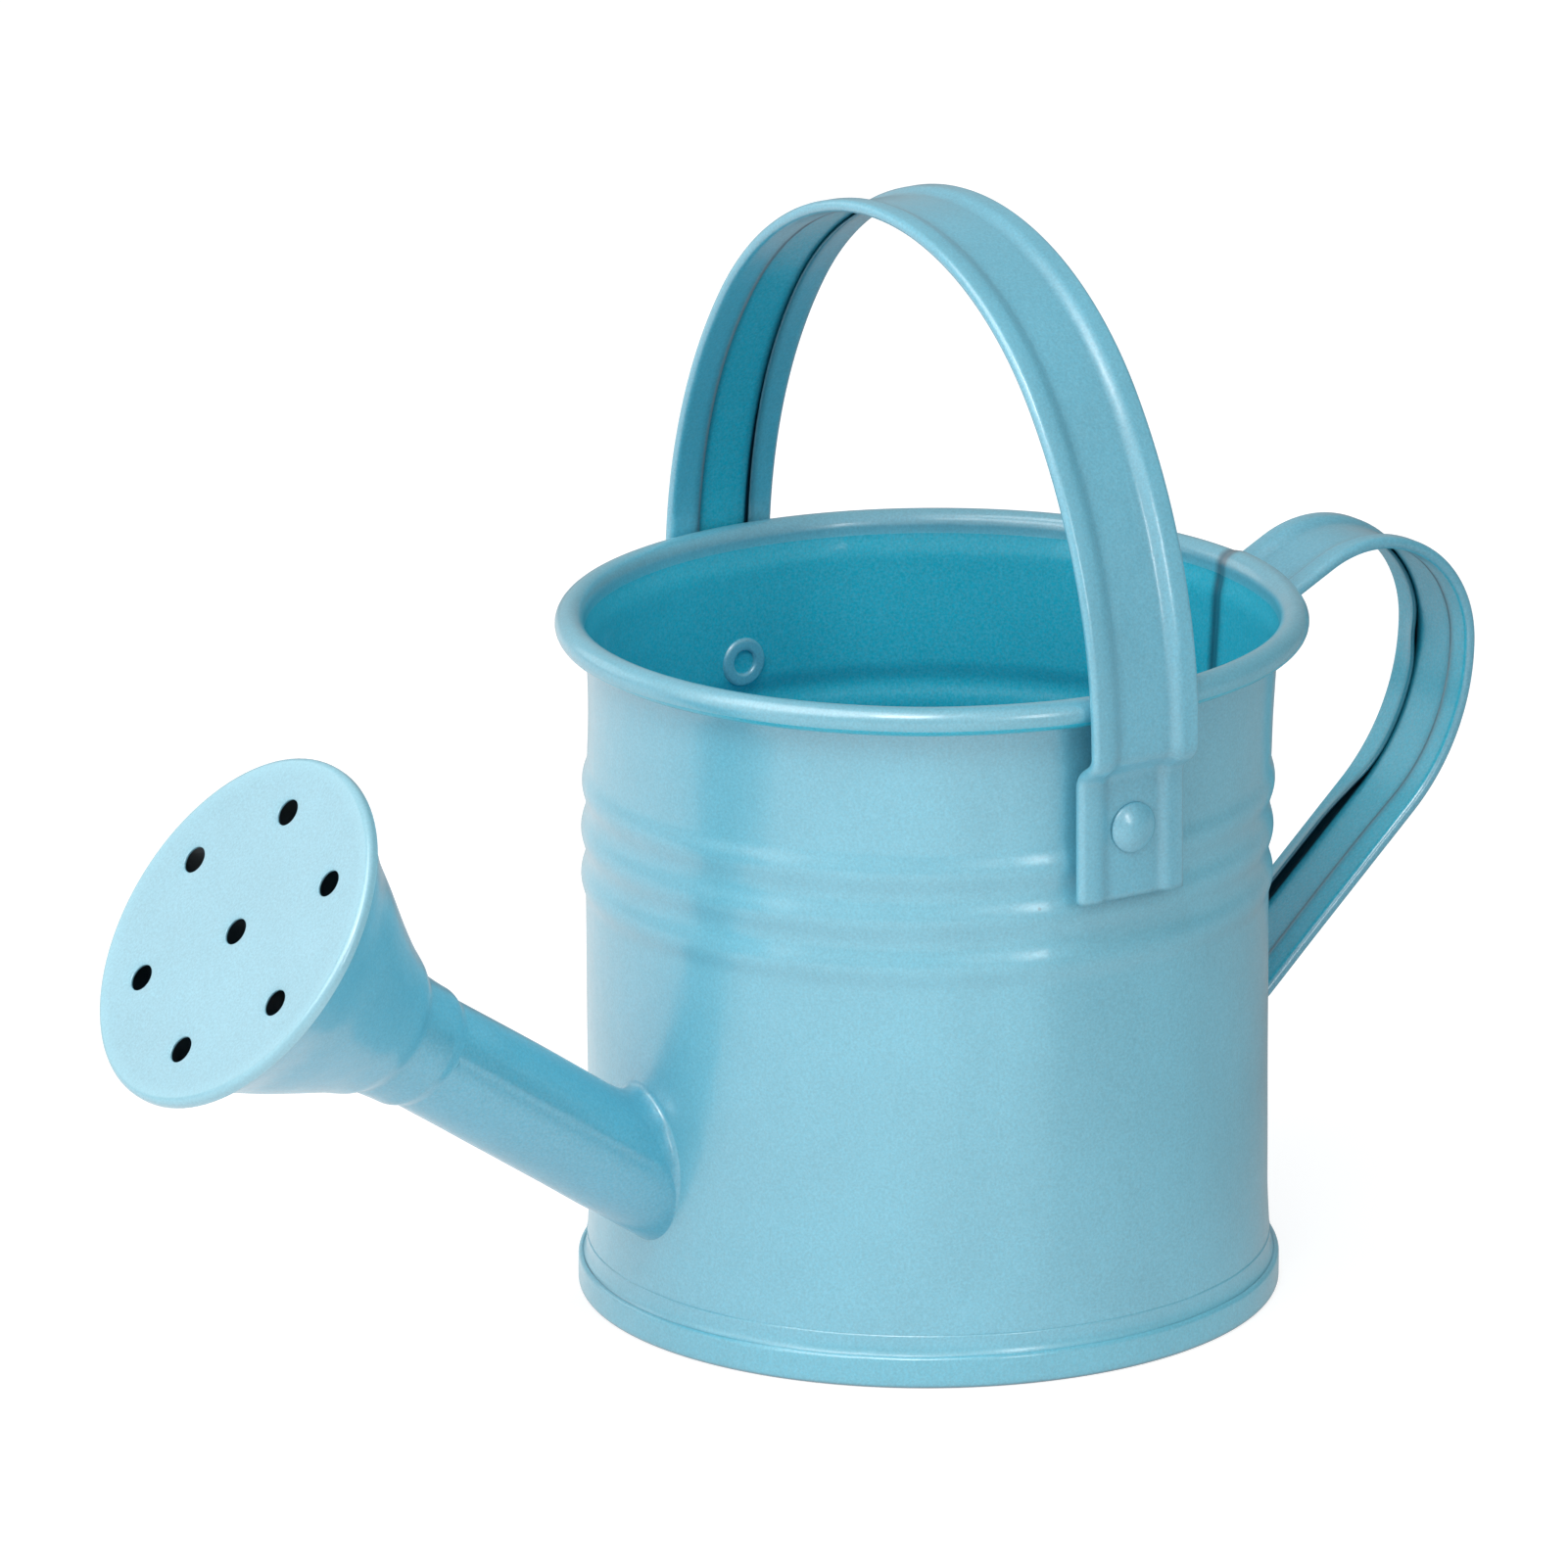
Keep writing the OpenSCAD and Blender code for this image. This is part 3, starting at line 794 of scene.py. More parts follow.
    def _hole_band(self, across: Index, cols: int, middle: int, inner: Index) -> Index:
        """Cells that join the hole's edge on the outer face to its edge on the inner face.

        Args:
            across: Signed column of each row of the grid, 0 at the spout.
            cols: Points of the profile's outline.
            middle: Profile point at the hole's centre.
            inner: Outline number of the inner face for each profile point.

        Returns:
            The cells.
        """
        w, h = self.window_half[0] // 2, self.window_half[1] // 2
        row_of = {int(v): i for i, v in enumerate(across)}
        ring = (
            [(c, -h) for c in range(-w, w)]
            + [(w, k) for k in range(-h, h)]
            + [(c, h) for c in range(w, -w, -1)]
            + [(-w, k) for k in range(h, -h, -1)]
        )
        outer_edge = np.array([row_of[c] * cols + middle + k for c, k in ring])
        inner_edge = np.array([row_of[c] * cols + inner[middle + k] for c, k in ring])
        return np.stack(
            [outer_edge, np.roll(outer_edge, -1), np.roll(inner_edge, -1), inner_edge], axis=1
        )

    def uneven(self, t: Grid, z: Grid) -> Grid:
        """How far hand-fed rolling leaves the wall off its circle: two lobes and slow ripples.

        Args:
            t: Angle round the can.
            z: Height.

        Returns:
            The outward shift.
        """
        lobes = 0.10 * np.cos(2 * t + 0.7) * smooth(z, 5.0, 90.0)
        turn = np.degrees(t)
        flats = sum(
            -height * np.abs((turn - at + 180.0) % 360.0 - 180.0).clip(0.0, 9.0) / 9.0
            for at, height in self.flats
        ) * smooth(z, 4.0, 16.0) * (1 - 0.7 * smooth(z, 84.0, 97.0))
        slow = 0.045 * ripple(np.cos(t) * 6 + np.sin(t) * 4, z * 0.09, 11)
        slow += 0.03 * ripple(np.sin(t) * 9 - np.cos(t) * 5, z * 0.22, 12)
        ends = smooth(z, 5.0, 14.0) * (1 - 0.6 * smooth(z, 90.0, 98.0))
        return lobes + flats + slow * ends

    def build_foot(self) -> bpy.types.Object:
        """The base plate: a flat recessed disc, a wall down to the ground, and the fold round the foot.

        Paint has run into the fold's top and flows up the wall: a quadratic curve from a hairline
        above the fold to a little way up the wall.

        Returns:
            The foot and base as one revolved sheet.
        """
        half, step = self.sheet / 2, self.sheet + self.seam_play
        hook_r = self.wall_mid + 2 * step
        out_r = self.wall_mid + 3 * step
        chuck_r = self.wall_mid - step
        panel_z = self.base_recess + half
        bend, foot = self.base_bend_r, self.foot_bend_r
        cap_z = self.seam_h - half - step
        path = joined(
            straight((0.0, panel_z), (chuck_r - bend, panel_z), 26),
            arc(chuck_r - bend, panel_z - bend, bend, 90, 0, 8),
            arc(chuck_r + foot, half + foot, foot, 180, 270, 8),
            arc(out_r - foot, half + foot, foot, 270, 360, 8),
            straight((out_r, half + foot), (out_r, cap_z), 6),
            arc(hook_r, cap_z, step, 0, 90, 8),
        )
        n = normals(path) * half
        lip_r, wall_r = hook_r - 0.06, self.wall_r - 0.015
        k = np.linspace(0.0, 1.0, 14)[:, None]
        flow = (
            (1 - k) ** 2 * np.array([lip_r - 0.10, self.seam_h - 0.03])
            + 2 * k * (1 - k) * np.array([wall_r + 0.01, self.seam_h + 0.55])
            + k**2 * np.array([wall_r, self.seam_h + self.flow_h])
        )
        line_z = self.seam_h - self.hairline
        line = np.array([[lip_r - 0.03, line_z], [lip_r - 0.07, line_z]])
        inside = np.array([[self.wall_mid, self.seam_h + self.flow_h], [self.wall_mid, cap_z]])
        loop = np.vstack([path + n, line, flow, inside, (path - n)[::-1]])
        loop[:, 0] = np.maximum(loop[:, 0], 0.0)
        turns = full_turn(300)
        points = revolved(loop, turns)
        r, z = np.hypot(points[..., 0], points[..., 1]), points[..., 2]
        t = turns[:, None]
        outer = smooth(r, 49.4, 50.4)
        band = outer * smooth(z, 1.0, 3.5)
        points[..., 2] += band * (0.07 * ripple(t * 5, z * 0, 21) + 0.03 * ripple(t * 23, z * 0, 25))
        press = 1 + band * 0.0014 * ripple(t * 7, z * 0.2, 22)
        points[..., 0] *= press
        points[..., 1] *= press
        # Painted shade in the hairline gap above the fold, darker where the gap opens wider, and a painted
        # shadow where the foot meets the ground.
        wave = ripple(t * 19, z * 0, 23)
        open_line = 0.42 + 0.5 * smooth(wave, 0.9, 1.3)
        at_line = hump(z, line_z, 0.09) * hump(r, hook_r - 0.11, 0.12)
        painted_shade = np.maximum(open_line * at_line, 0.85 * outer * hump(z, 0.0, 0.40))
        # Painted highlight: a pale line along the paint's flow just above the fold.
        painted_highlight = 0.25 * outer * hump(z, self.seam_h + 0.35, 0.3) * hump(r, 50.3, 0.2)
        quads = grid_quads(len(turns), len(loop), True, True)
        # Painted shade and bounce light: the base's inner top takes the more saturated teal in full, the
        # foot's low outer band in part.
        edge = 0.3 * (1 - smooth(z, self.seam_h - 1.0, self.seam_h + self.flow_h))
        fields = {"painted_shade": painted_shade, "painted_highlight": painted_highlight, "inside": np.where(r < 49.5, 1.0, edge)}
        return make_piece("can_foot", points, quads, fields)

    def build(self, dresser: Dresser) -> None:
        """Builds and paints the wall and foot, and paints the seam's compound.

        Args:
            dresser: Where the finishes come from.
        """
        wall = settle(self.build_wall(), "can", "can_paint", "body_wall")
        foot = settle(self.build_foot(), "can", "can_paint", "base_plate")
        dresser.dress(wall, CAN_PAINT, BOUNCE_LIT_PAINT)
        dresser.dress(foot, CAN_PAINT)
        dresser.dress(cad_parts["seam_seal"], SEAM_COMPOUND)


# ---------------------------------------------------------------- the spout and rose


@dataclass
class SpoutLine:
    """The slanting axis that the spout and the rose share."""

    wall_r: float = 50.0
    root_z: float = 24.6
    angle: float = 36.0
    lean: float = 0.032
    cross_s: float = 26.0
    neck_s: float = 51.0
    neck_drop: float = 0.2
    ease: tuple[float, float] = (9.0, 28.0)

    def drop(self, s: Grid) -> Grid:
        """How far the pipe's middle lies below the axis, as it was fitted by hand.

        The tube leans by a slope from above the axis at the wall to below it at the neck, and the
        cone eases back to the axis at the rose's face.

        Args:
            s: Distance from the wall along the axis.

        Returns:
            The distance below the axis.
        """
        lean = self.lean * (np.minimum(s, self.neck_s) - self.cross_s)
        eased = lean * (1 - smooth(s, self.neck_s + self.ease[0], self.neck_s + self.ease[1]))
        return eased + self.neck_drop * hump(s, self.neck_s, 8.0)

    def place(self, points: Grid, along: float = 0.0) -> Grid:
        """Turns points about Y so that their Z runs along the axis, and moves them to it.

        Args:
            points: Points with Z along the axis and X downwards off it.
            along: Distance from the wall at which Z is 0.

        Returns:
            The points in the can's frame.
        """
        c, s = math.cos(math.radians(self.angle)), math.sin(math.radians(self.angle))
        y, z = points[..., 1], points[..., 2] + along
        x = points[..., 0] + self.drop(z)
        return np.stack([self.wall_r + x * s + z * c, y, self.root_z - x * c + z * s], axis=-1)

    def meets(self, radius: Grid | float, turn: Grid, can_r: float) -> Grid:
        """Distance along the axis at which a rod's line meets a cylinder about the can's axis.

        Args:
            radius: Distance of the line from the axis.
            turn: Angle of the line round the axis, 0 on the side that faces down.
            can_r: Radius of the cylinder.

        Returns:
            The distance from the wall.
        """
        c, s = math.cos(math.radians(self.angle)), math.sin(math.radians(self.angle))
        x, y = radius * np.cos(turn) - self.lean * self.cross_s, radius * np.sin(turn)
        return (np.sqrt(can_r**2 - y**2) - self.wall_r - x * s) / (c + self.lean * s)


@dataclass
class Spout:
    """The tube and the fillet of solder round its root."""

    line: SpoutLine = field(default_factory=SpoutLine)
    radius: float = 8.6
    wall: float = 0.5
    end: float = 51.8
    stub: float = 0.8
    can_sheet: float = 0.4
    seam_turn: float = 102.0
    fillet_w: float = 0.30
    fillet_h: float = 0.45
    fillet_top: tuple[float, float] = (8.0, 17.0)

    def build_tube(self) -> bpy.types.Object:
        """The tube: circles from the cut inside the can to the end in the collar, and back inside.

        Returns:
            The tube.
        """
        turns = full_turn(128)
        inside = self.line.meets(self.radius, turns, self.line.wall_r - self.can_sheet - self.stub)
        k = np.linspace(0.0, 1.0, 70)[None, :]
        out_s = inside[:, None] + (self.end - inside[:, None]) * k
        dent = 0.05 * ripple(turns[:, None] * 2, out_s * 0.25, 31)
        dent = dent * smooth(out_s, 2.0, 8.0) * (1 - smooth(out_s, 40.0, 44.0))
        at = np.degrees(turns)[:, None] - self.seam_turn + 1.5 * ripple(out_s * 0.08, 0 * out_s, 34)
        dent = dent + (0.09 * hump(at, 0.0, 3.5) - 0.07 * hump(at, -7.0, 5.0)) * smooth(out_s, 1.0, 5.0)
        out_r = self.radius + dent
        in_r = self.radius - self.wall + 0.0 * out_s
        s = np.concatenate([out_s, out_s[:, ::-1]], axis=1)
        r = np.concatenate([out_r, in_r], axis=1)
        t = turns[:, None]
        points = self.line.place(np.stack([r * np.cos(t), r * np.sin(t), s], axis=-1))
        return make_piece("spout_pipe", points, grid_quads(len(turns), s.shape[1], True, True))

    def build_fillet(self) -> bpy.types.Object:
        """The solder: a band whose face is a quadratic curve from the wall to the tube.

        Round the root, a point w out on the wall, the corner itself and a point h up the tube
        steer the curve, and w and h swell and thin slowly.

        Returns:
            The fillet.
        """
        turns = full_turn(192)
        top_share = ((1 - np.cos(turns - 0.25)) / 2) ** 2
        swell = 1 + 0.15 * ripple(turns * 2.0, turns * 0, 33)
        w = self.fillet_w * swell * (1 + self.fillet_top[0] * top_share)
        h = self.fillet_h * swell * (1 + self.fillet_top[1] * top_share)
        can_r, rod_r = self.line.wall_r, self.radius

        def ring(radius: Grid | float, s: Grid) -> Grid:
            """Points at the given radius and distance for every angle."""
            return self.line.place(
                np.stack([radius * np.cos(turns), radius * np.sin(turns), s], axis=-1)
            )

        foot = ring(rod_r + w, self.line.meets(rod_r + w, turns, can_r - 0.02))
        corner = ring(rod_r + 0.1, self.line.meets(rod_r + 0.1, turns, can_r + 0.06))
        top_s = self.line.meets(rod_r, turns, can_r) + h
        top = ring(rod_r - 0.02, top_s)
        k = np.linspace(0.0, 1.0, 13)[None, :, None]
        face = (1 - k) ** 2 * foot[:, None] + 2 * k * (1 - k) * corner[:, None] + k**2 * top[:, None]
        back = np.stack(
            [
                ring(rod_r - 0.2, top_s),
                ring(rod_r - 0.2, self.line.meets(rod_r - 0.2, turns, can_r - 0.2)),
                ring(rod_r + w, self.line.meets(rod_r + w, turns, can_r - 0.2)),
            ],
            axis=1,
        )
        sunk = ring(rod_r + w + 0.3, self.line.meets(rod_r + w + 0.3, turns, can_r - 0.12))
        tail = ring(rod_r - 0.08, top_s + 0.5)
        points = np.concatenate([sunk[:, None], face, tail[:, None], back], axis=1)
        out = np.hypot(points[..., 0], points[..., 1])
        swerve = CanBody().uneven(np.arctan2(points[..., 1], points[..., 0]), points[..., 2])
        grow = 1 + swerve * (1 - smooth(out - can_r, 0.0, 3.0)) / out
        points[..., 0] *= grow
        points[..., 1] *= grow
        behind = np.zeros(1 + back.shape[1])
        edge = np.concatenate([[1.0], (1 - k[0, :, 0]) ** 6, behind])[None, :]
        side = np.degrees(turns)[:, None]
        # Painted highlight along the solder's edge on one side of the root, and faint painted shade on the
        # other.
        painted_highlight = 0.6 * edge * hump(side, 118.0, 24.0)
        painted_shade = 0.06 * edge * hump(side, 55.0, 35.0)
        return make_piece(
            "spout_root_solder",
            points,
            grid_quads(len(turns), points.shape[1], True, True),
            {"painted_highlight": painted_highlight, "painted_shade": painted_shade},
        )

    def build(self, dresser: Dresser) -> None:
        """Builds and paints the tube and its solder.

        Args:
            dresser: Where the finishes come from.
        """
        tube = settle(self.build_tube(), "can", "spout_paint", "spout_tube")
        fillet = settle(self.build_fillet(), "can", "spout_paint", "spout_solder")
        dresser.dress(tube, SPOUT_PAINT)
        dresser.dress(fillet, SPOUT_PAINT)


@dataclass
class Rose:
    """The cone with its collar, and the dished face with its holes."""

    line: SpoutLine = field(default_factory=SpoutLine)
    reach: float = 82.9
    radius: float = 27.0
    sheet: float = 0.4
    cone_len: float = 30.6
    cone_dip: float = 0.5
    collar_len: float = 7.0
    collar_r: float = 9.02
    collar_lip: float = 0.36
    neck_r: float = 9.9
    neck_swell: float = 0.30
    mouth_hollow: float = 0.45
    play: float = 0.02
    dish: float = 0.5
    hem: float = 1.3
    hem_bend_r: float = 0.7
    hole_count: int = 6
    hole_r: float = 2.0
    hole_ring_r: float = 18.55
    hole_turn: float = 9.0

    def build_cone(self) -> bpy.types.Object:
        """Collar and cone, turned about the spout's axis.

        The cone's side sinks by a half sine, swells just past the collar and hollows near the mouth.

        Returns:
            The shell.
        """
        half = self.sheet / 2
        mouth_r = self.radius - self.sheet - self.play
        k = np.linspace(0.0, 1.0, 40)
        side_r = self.neck_r + (mouth_r - self.neck_r) * k - self.cone_dip * np.sin(np.pi * k)
        swell = self.neck_swell * smooth(k, 0.0, 0.07) * hump(k, 0.08, 0.08)
        side_r = side_r + swell - self.mouth_hollow * hump(k, 0.72, 0.13)
        side = np.stack([side_r - half, self.collar_len + (self.cone_len - self.sheet) * k], axis=1)
        u = np.linspace(0.0, 1.0, 14)
        lip = self.collar_lip * smooth(u, 0.0, 0.16)
        collar_r = self.collar_r + lip + (self.neck_r - self.collar_r - self.collar_lip) * u**2
        collar = np.stack([collar_r - half, self.collar_len * u], axis=1)
        loop = sheet_loop(joined(collar, side), self.sheet)
        turns = full_turn(160)
        points = revolved(loop, turns)
        t, s = turns[:, None], points[..., 2]
        wave = 1 + 0.004 * ripple(t * 2, s * 0.2, 41) * smooth(s, 1.0, 8.0) * (1 - smooth(s, 33.0, 37.0))
        points[..., 0] *= wave
        points[..., 1] *= wave
        # Painted shade: a faint line at the collar's edge outside, and almost full shade on the cone's inner
        # faces.
        outer = np.hypot(points[..., 0], points[..., 1]) > np.interp(
            s, loop[: len(loop) // 2, 1], loop[: len(loop) // 2, 0]
        ) - 0.3
        painted_shade = np.where(outer, 0.06 * hump(s, self.collar_len + 0.3, 0.8), 0.97)
        points = self.line.place(points, self.reach - self.cone_len - self.collar_len)
        quads = grid_quads(len(turns), len(loop), True, True)
        return make_piece("rose_cone", points, quads, {"painted_shade": painted_shade})

    def build_ring(self) -> bpy.types.Object:
        """The solder at the collar's edge: an ogee from the tube up to the collar, turned on the axis.

        Returns:
            The ring.
        """
        k = np.linspace(0.0, 1.0, 12)
        low, high = self.collar_r - self.sheet - 0.06, self.collar_r + 0.37
        curve = np.stack([low + (high - low) * smooth(k, 0.0, 1.0), -1.7 + 2.9 * k], axis=1)
        back = np.array([[high - 0.12, 1.8], [low - 0.1, 1.2], [low - 0.1, -1.7]])
        turns = full_turn(128)
        loop = np.vstack([curve, back])
        points = self.line.place(revolved(loop, turns), self.reach - self.cone_len - self.collar_len)
        return make_piece("collar_solder", points, grid_quads(len(turns), len(loop), True, True))

    def face_z(self, r: Grid) -> Grid:
        """Height of the face over its edge: a shallow dish, flat at the middle.

        Args:
            r: Distance from the middle.

        Returns:
            The height.
        """
        edge = self.radius - self.sheet / 2 - self.hem_bend_r
        return self.dish * ((np.clip(r, 0, edge) / edge) ** 2 - 1)

    def _cell(self, centre: tuple[float, float], rim: Grid, rings: int = 9) -> tuple[Grid, Index]:
        """A patch of the face round one hole, front and back, with the wall of the hole between.

        Rings ease from the cell's rim to the hole's circle on the front, turn over its rounded
        edge, and go back out on the back face.

        Args:
            centre: Middle of the hole.
            rim: Closed outline of the cell.
            rings: Rings on each face.

        Returns:
            Points and cells of the patch.
        """
        mid = np.array(centre)
        a = np.arctan2(rim[:, 1] - mid[1], rim[:, 0] - mid[0])
        unit = np.stack([np.cos(a), np.sin(a)], axis=1)
        half, lip = self.sheet / 2, 0.13
        circle = mid + (self.hole_r + lip) * unit
        k = np.linspace(0.0, 1.0, rings) ** 0.75
        flat = rim[None] * (1 - k[:, None, None]) + circle[None] * k[:, None, None]
        turn = np.radians(np.array([30.0, 60.0, 90.0]))[:, None, None]
        bend = mid + (self.hole_r + lip * (1 - np.sin(turn))) * unit[None]
        drop = (lip * (1 - np.cos(turn)))[..., 0] * np.ones(len(rim))
        plane = np.concatenate([flat, bend, bend[::-1], flat[::-1]])
        zero = np.zeros((rings, len(rim)))
        depth = np.concatenate(
            [zero + half, half - drop, -(half - drop)[::-1], zero - half]
        )
        radius = np.hypot(plane[..., 0], plane[..., 1])
        z = self.face_z(radius) + depth
        sink = -0.10 * np.exp(-(((np.linalg.norm(plane - mid, axis=-1) - self.hole_r) / 0.8) ** 2))
        points = np.concatenate([plane, (z + sink)[..., None]], axis=-1)
        return points, grid_quads(len(points), len(rim), False, True)

    def _edge_strip(self, high: float, edge: float) -> Grid:
        """Outline of the face's edge: out from the cells, round the bend and down the turned hem.

        Args:
            high: Radius at which the cells round the holes end.
            edge: Radius at which the bend starts.

        Returns:
            The outline (r, z), from one face of the sheet to the other.
        """
        bend, half = self.hem_bend_r, self.sheet / 2
        base_z = float(self.face_z(np.array([edge]))[0])
        path = joined(
            np.stack([np.linspace(high, edge, 4), self.face_z(np.linspace(high, edge, 4))], 1),
            arc(edge, base_z - bend, bend, 84, 0, 9),
            straight((edge + bend, base_z - bend), (edge + bend, -self.hem), 3),
        )
        tip = np.linspace(0, np.pi, 5)[1:-1, None]
        nrm = normals(path)[-1]
        fwd = np.array([-nrm[1], nrm[0]])
        end = path[-1] + half * (-np.cos(tip) * nrm + np.sin(tip) * fwd)
        skin = normals(path) * self.sheet / 2
        strip = np.vstack([path - skin, end, (path + skin)[::-1]])
        high_z = float(self.face_z(np.array([high]))[0])
        strip[0] = (high, high_z + half)
        strip[-1] = (high, high_z - half)
        return strip

    def build_face(self) -> bpy.types.Object:
        """The face: a cell round each hole, and rings out to the rolled edge, front and back.

        The ring of holes is cut into equal sectors between two circles. Each sector is one cell,
        and so is the disc within the smaller circle.

        Returns:
            The face.
        """
        edge = self.radius - self.sheet / 2 - self.hem_bend_r
        low, high = self.hole_ring_r - 7.6, edge - 0.6
        n = 18
        width = 2 * np.pi / self.hole_count
        parts: list[Grid] = []
        cells: list[Index] = []
        offset = 0

        def add(points: Grid, quads: Index) -> None:
            """Appends a patch."""
            nonlocal offset
            parts.append(points.reshape(-1, 3))
            cells.append(quads + offset)
            offset += points.size // 3

        for i in range(self.hole_count):
            mid = math.radians(self.hole_turn) + i * width
            span = mid + np.linspace(-width / 2, width / 2, n + 1)
            side = np.linspace(low, high, 13)
            rim = np.vstack(
                [
                    np.stack([high * np.cos(span), high * np.sin(span)], 1)[:-1],
                    np.stack([side[::-1] * np.cos(span[-1]), side[::-1] * np.sin(span[-1])], 1)[:-1],
                    np.stack([low * np.cos(span[::-1]), low * np.sin(span[::-1])], 1)[:-1],
                    np.stack([side * np.cos(span[0]), side * np.sin(span[0])], 1)[:-1],
                ]
            )
            centre = (self.hole_ring_r * math.cos(mid), self.hole_ring_r * math.sin(mid))
            add(*self._cell(centre, rim))
        whole = math.radians(self.hole_turn) - width / 2 + full_turn(n * self.hole_count)
        add(*self._cell((0.0, 0.0), np.stack([low * np.cos(whole), low * np.sin(whole)], 1)))
        strip = self._edge_strip(high, edge)
        add(revolved(strip, whole), grid_quads(len(whole), len(strip), True, False))
        points = np.vstack(parts)
        r, z = np.hypot(points[:, 0], points[:, 1]), points[:, 2]
        points[:, 2] += 0.03 * ripple(points[:, 0] * 0.25, points[:, 1] * 0.25, 43) * (r < edge)
        # Painted highlight: a pale ring on the rolled edge, on the front only.
        painted_highlight = 0.35 * smooth(r, self.radius - 3.2, self.radius - 0.6) * (z > -self.dish - 1.5)
        placed = self.line.place(points * np.array([-1.0, -1.0, 1.0]), self.reach)
        return make_piece("rose_front", placed, np.vstack(cells), {"painted_highlight": painted_highlight}, weld=2e-3)

    def build(self, dresser: Dresser) -> None:
        """Builds and paints the cone, the face and the ring of solder.

        Args:
            dresser: Where the finishes come from.
        """
        cone = settle(self.build_cone(), "can", "rose_paint", "rose_shell")
        face = settle(self.build_face(), "can", "rose_paint", "rose_face")
        ring = settle(self.build_ring(), "can", "rose_paint", "rose_solder")
        dresser.dress(cone, SPOUT_PAINT)
        dresser.dress(face, ROSE_PAINT)
        dresser.dress(ring, SPOUT_PAINT)


# ---------------------------------------------------------------- the straps


@dataclass(frozen=True)
class Run:
    """One piece of a strap's path: a line, or a turn of a radius through an angle."""

    length: float = 0.0
    radius: float = 0.0
    turn: float = 0.0

    def walk(self, start: tuple[float, float, float], step: float) -> Grid:
        """Places along the piece.

        A line keeps its heading g. On a turn, the place moves by r (sin g' - sin g) and
        -r (cos g' - cos g), signed by the turn's side.

        Args:
            start: Place and heading at its start, with the heading in radians.
            step: Largest distance between places.

        Returns:
            Rows of place and heading, the start left out.
        """
        x, z, g = start
        if self.turn == 0.0:
            k = np.linspace(0, 1, max(1, math.ceil(self.length / step)) + 1)[1:]
            run = k * self.length
            return np.stack([x + run * math.cos(g), z + run * math.sin(g), g + 0 * k], 1)
        side = math.copysign(1.0, self.turn)
        bend = math.radians(abs(self.turn))
        n = max(3, math.ceil(self.radius * bend / step), math.ceil(bend / 0.12))
        h = g + side * bend * np.linspace(0, 1, n + 1)[1:]
        swing = side * self.radius
        along, up = swing * (np.sin(h) - math.sin(g)), swing * (np.cos(h) - math.cos(g))
        return np.stack([x + along, z - up, h], axis=1)


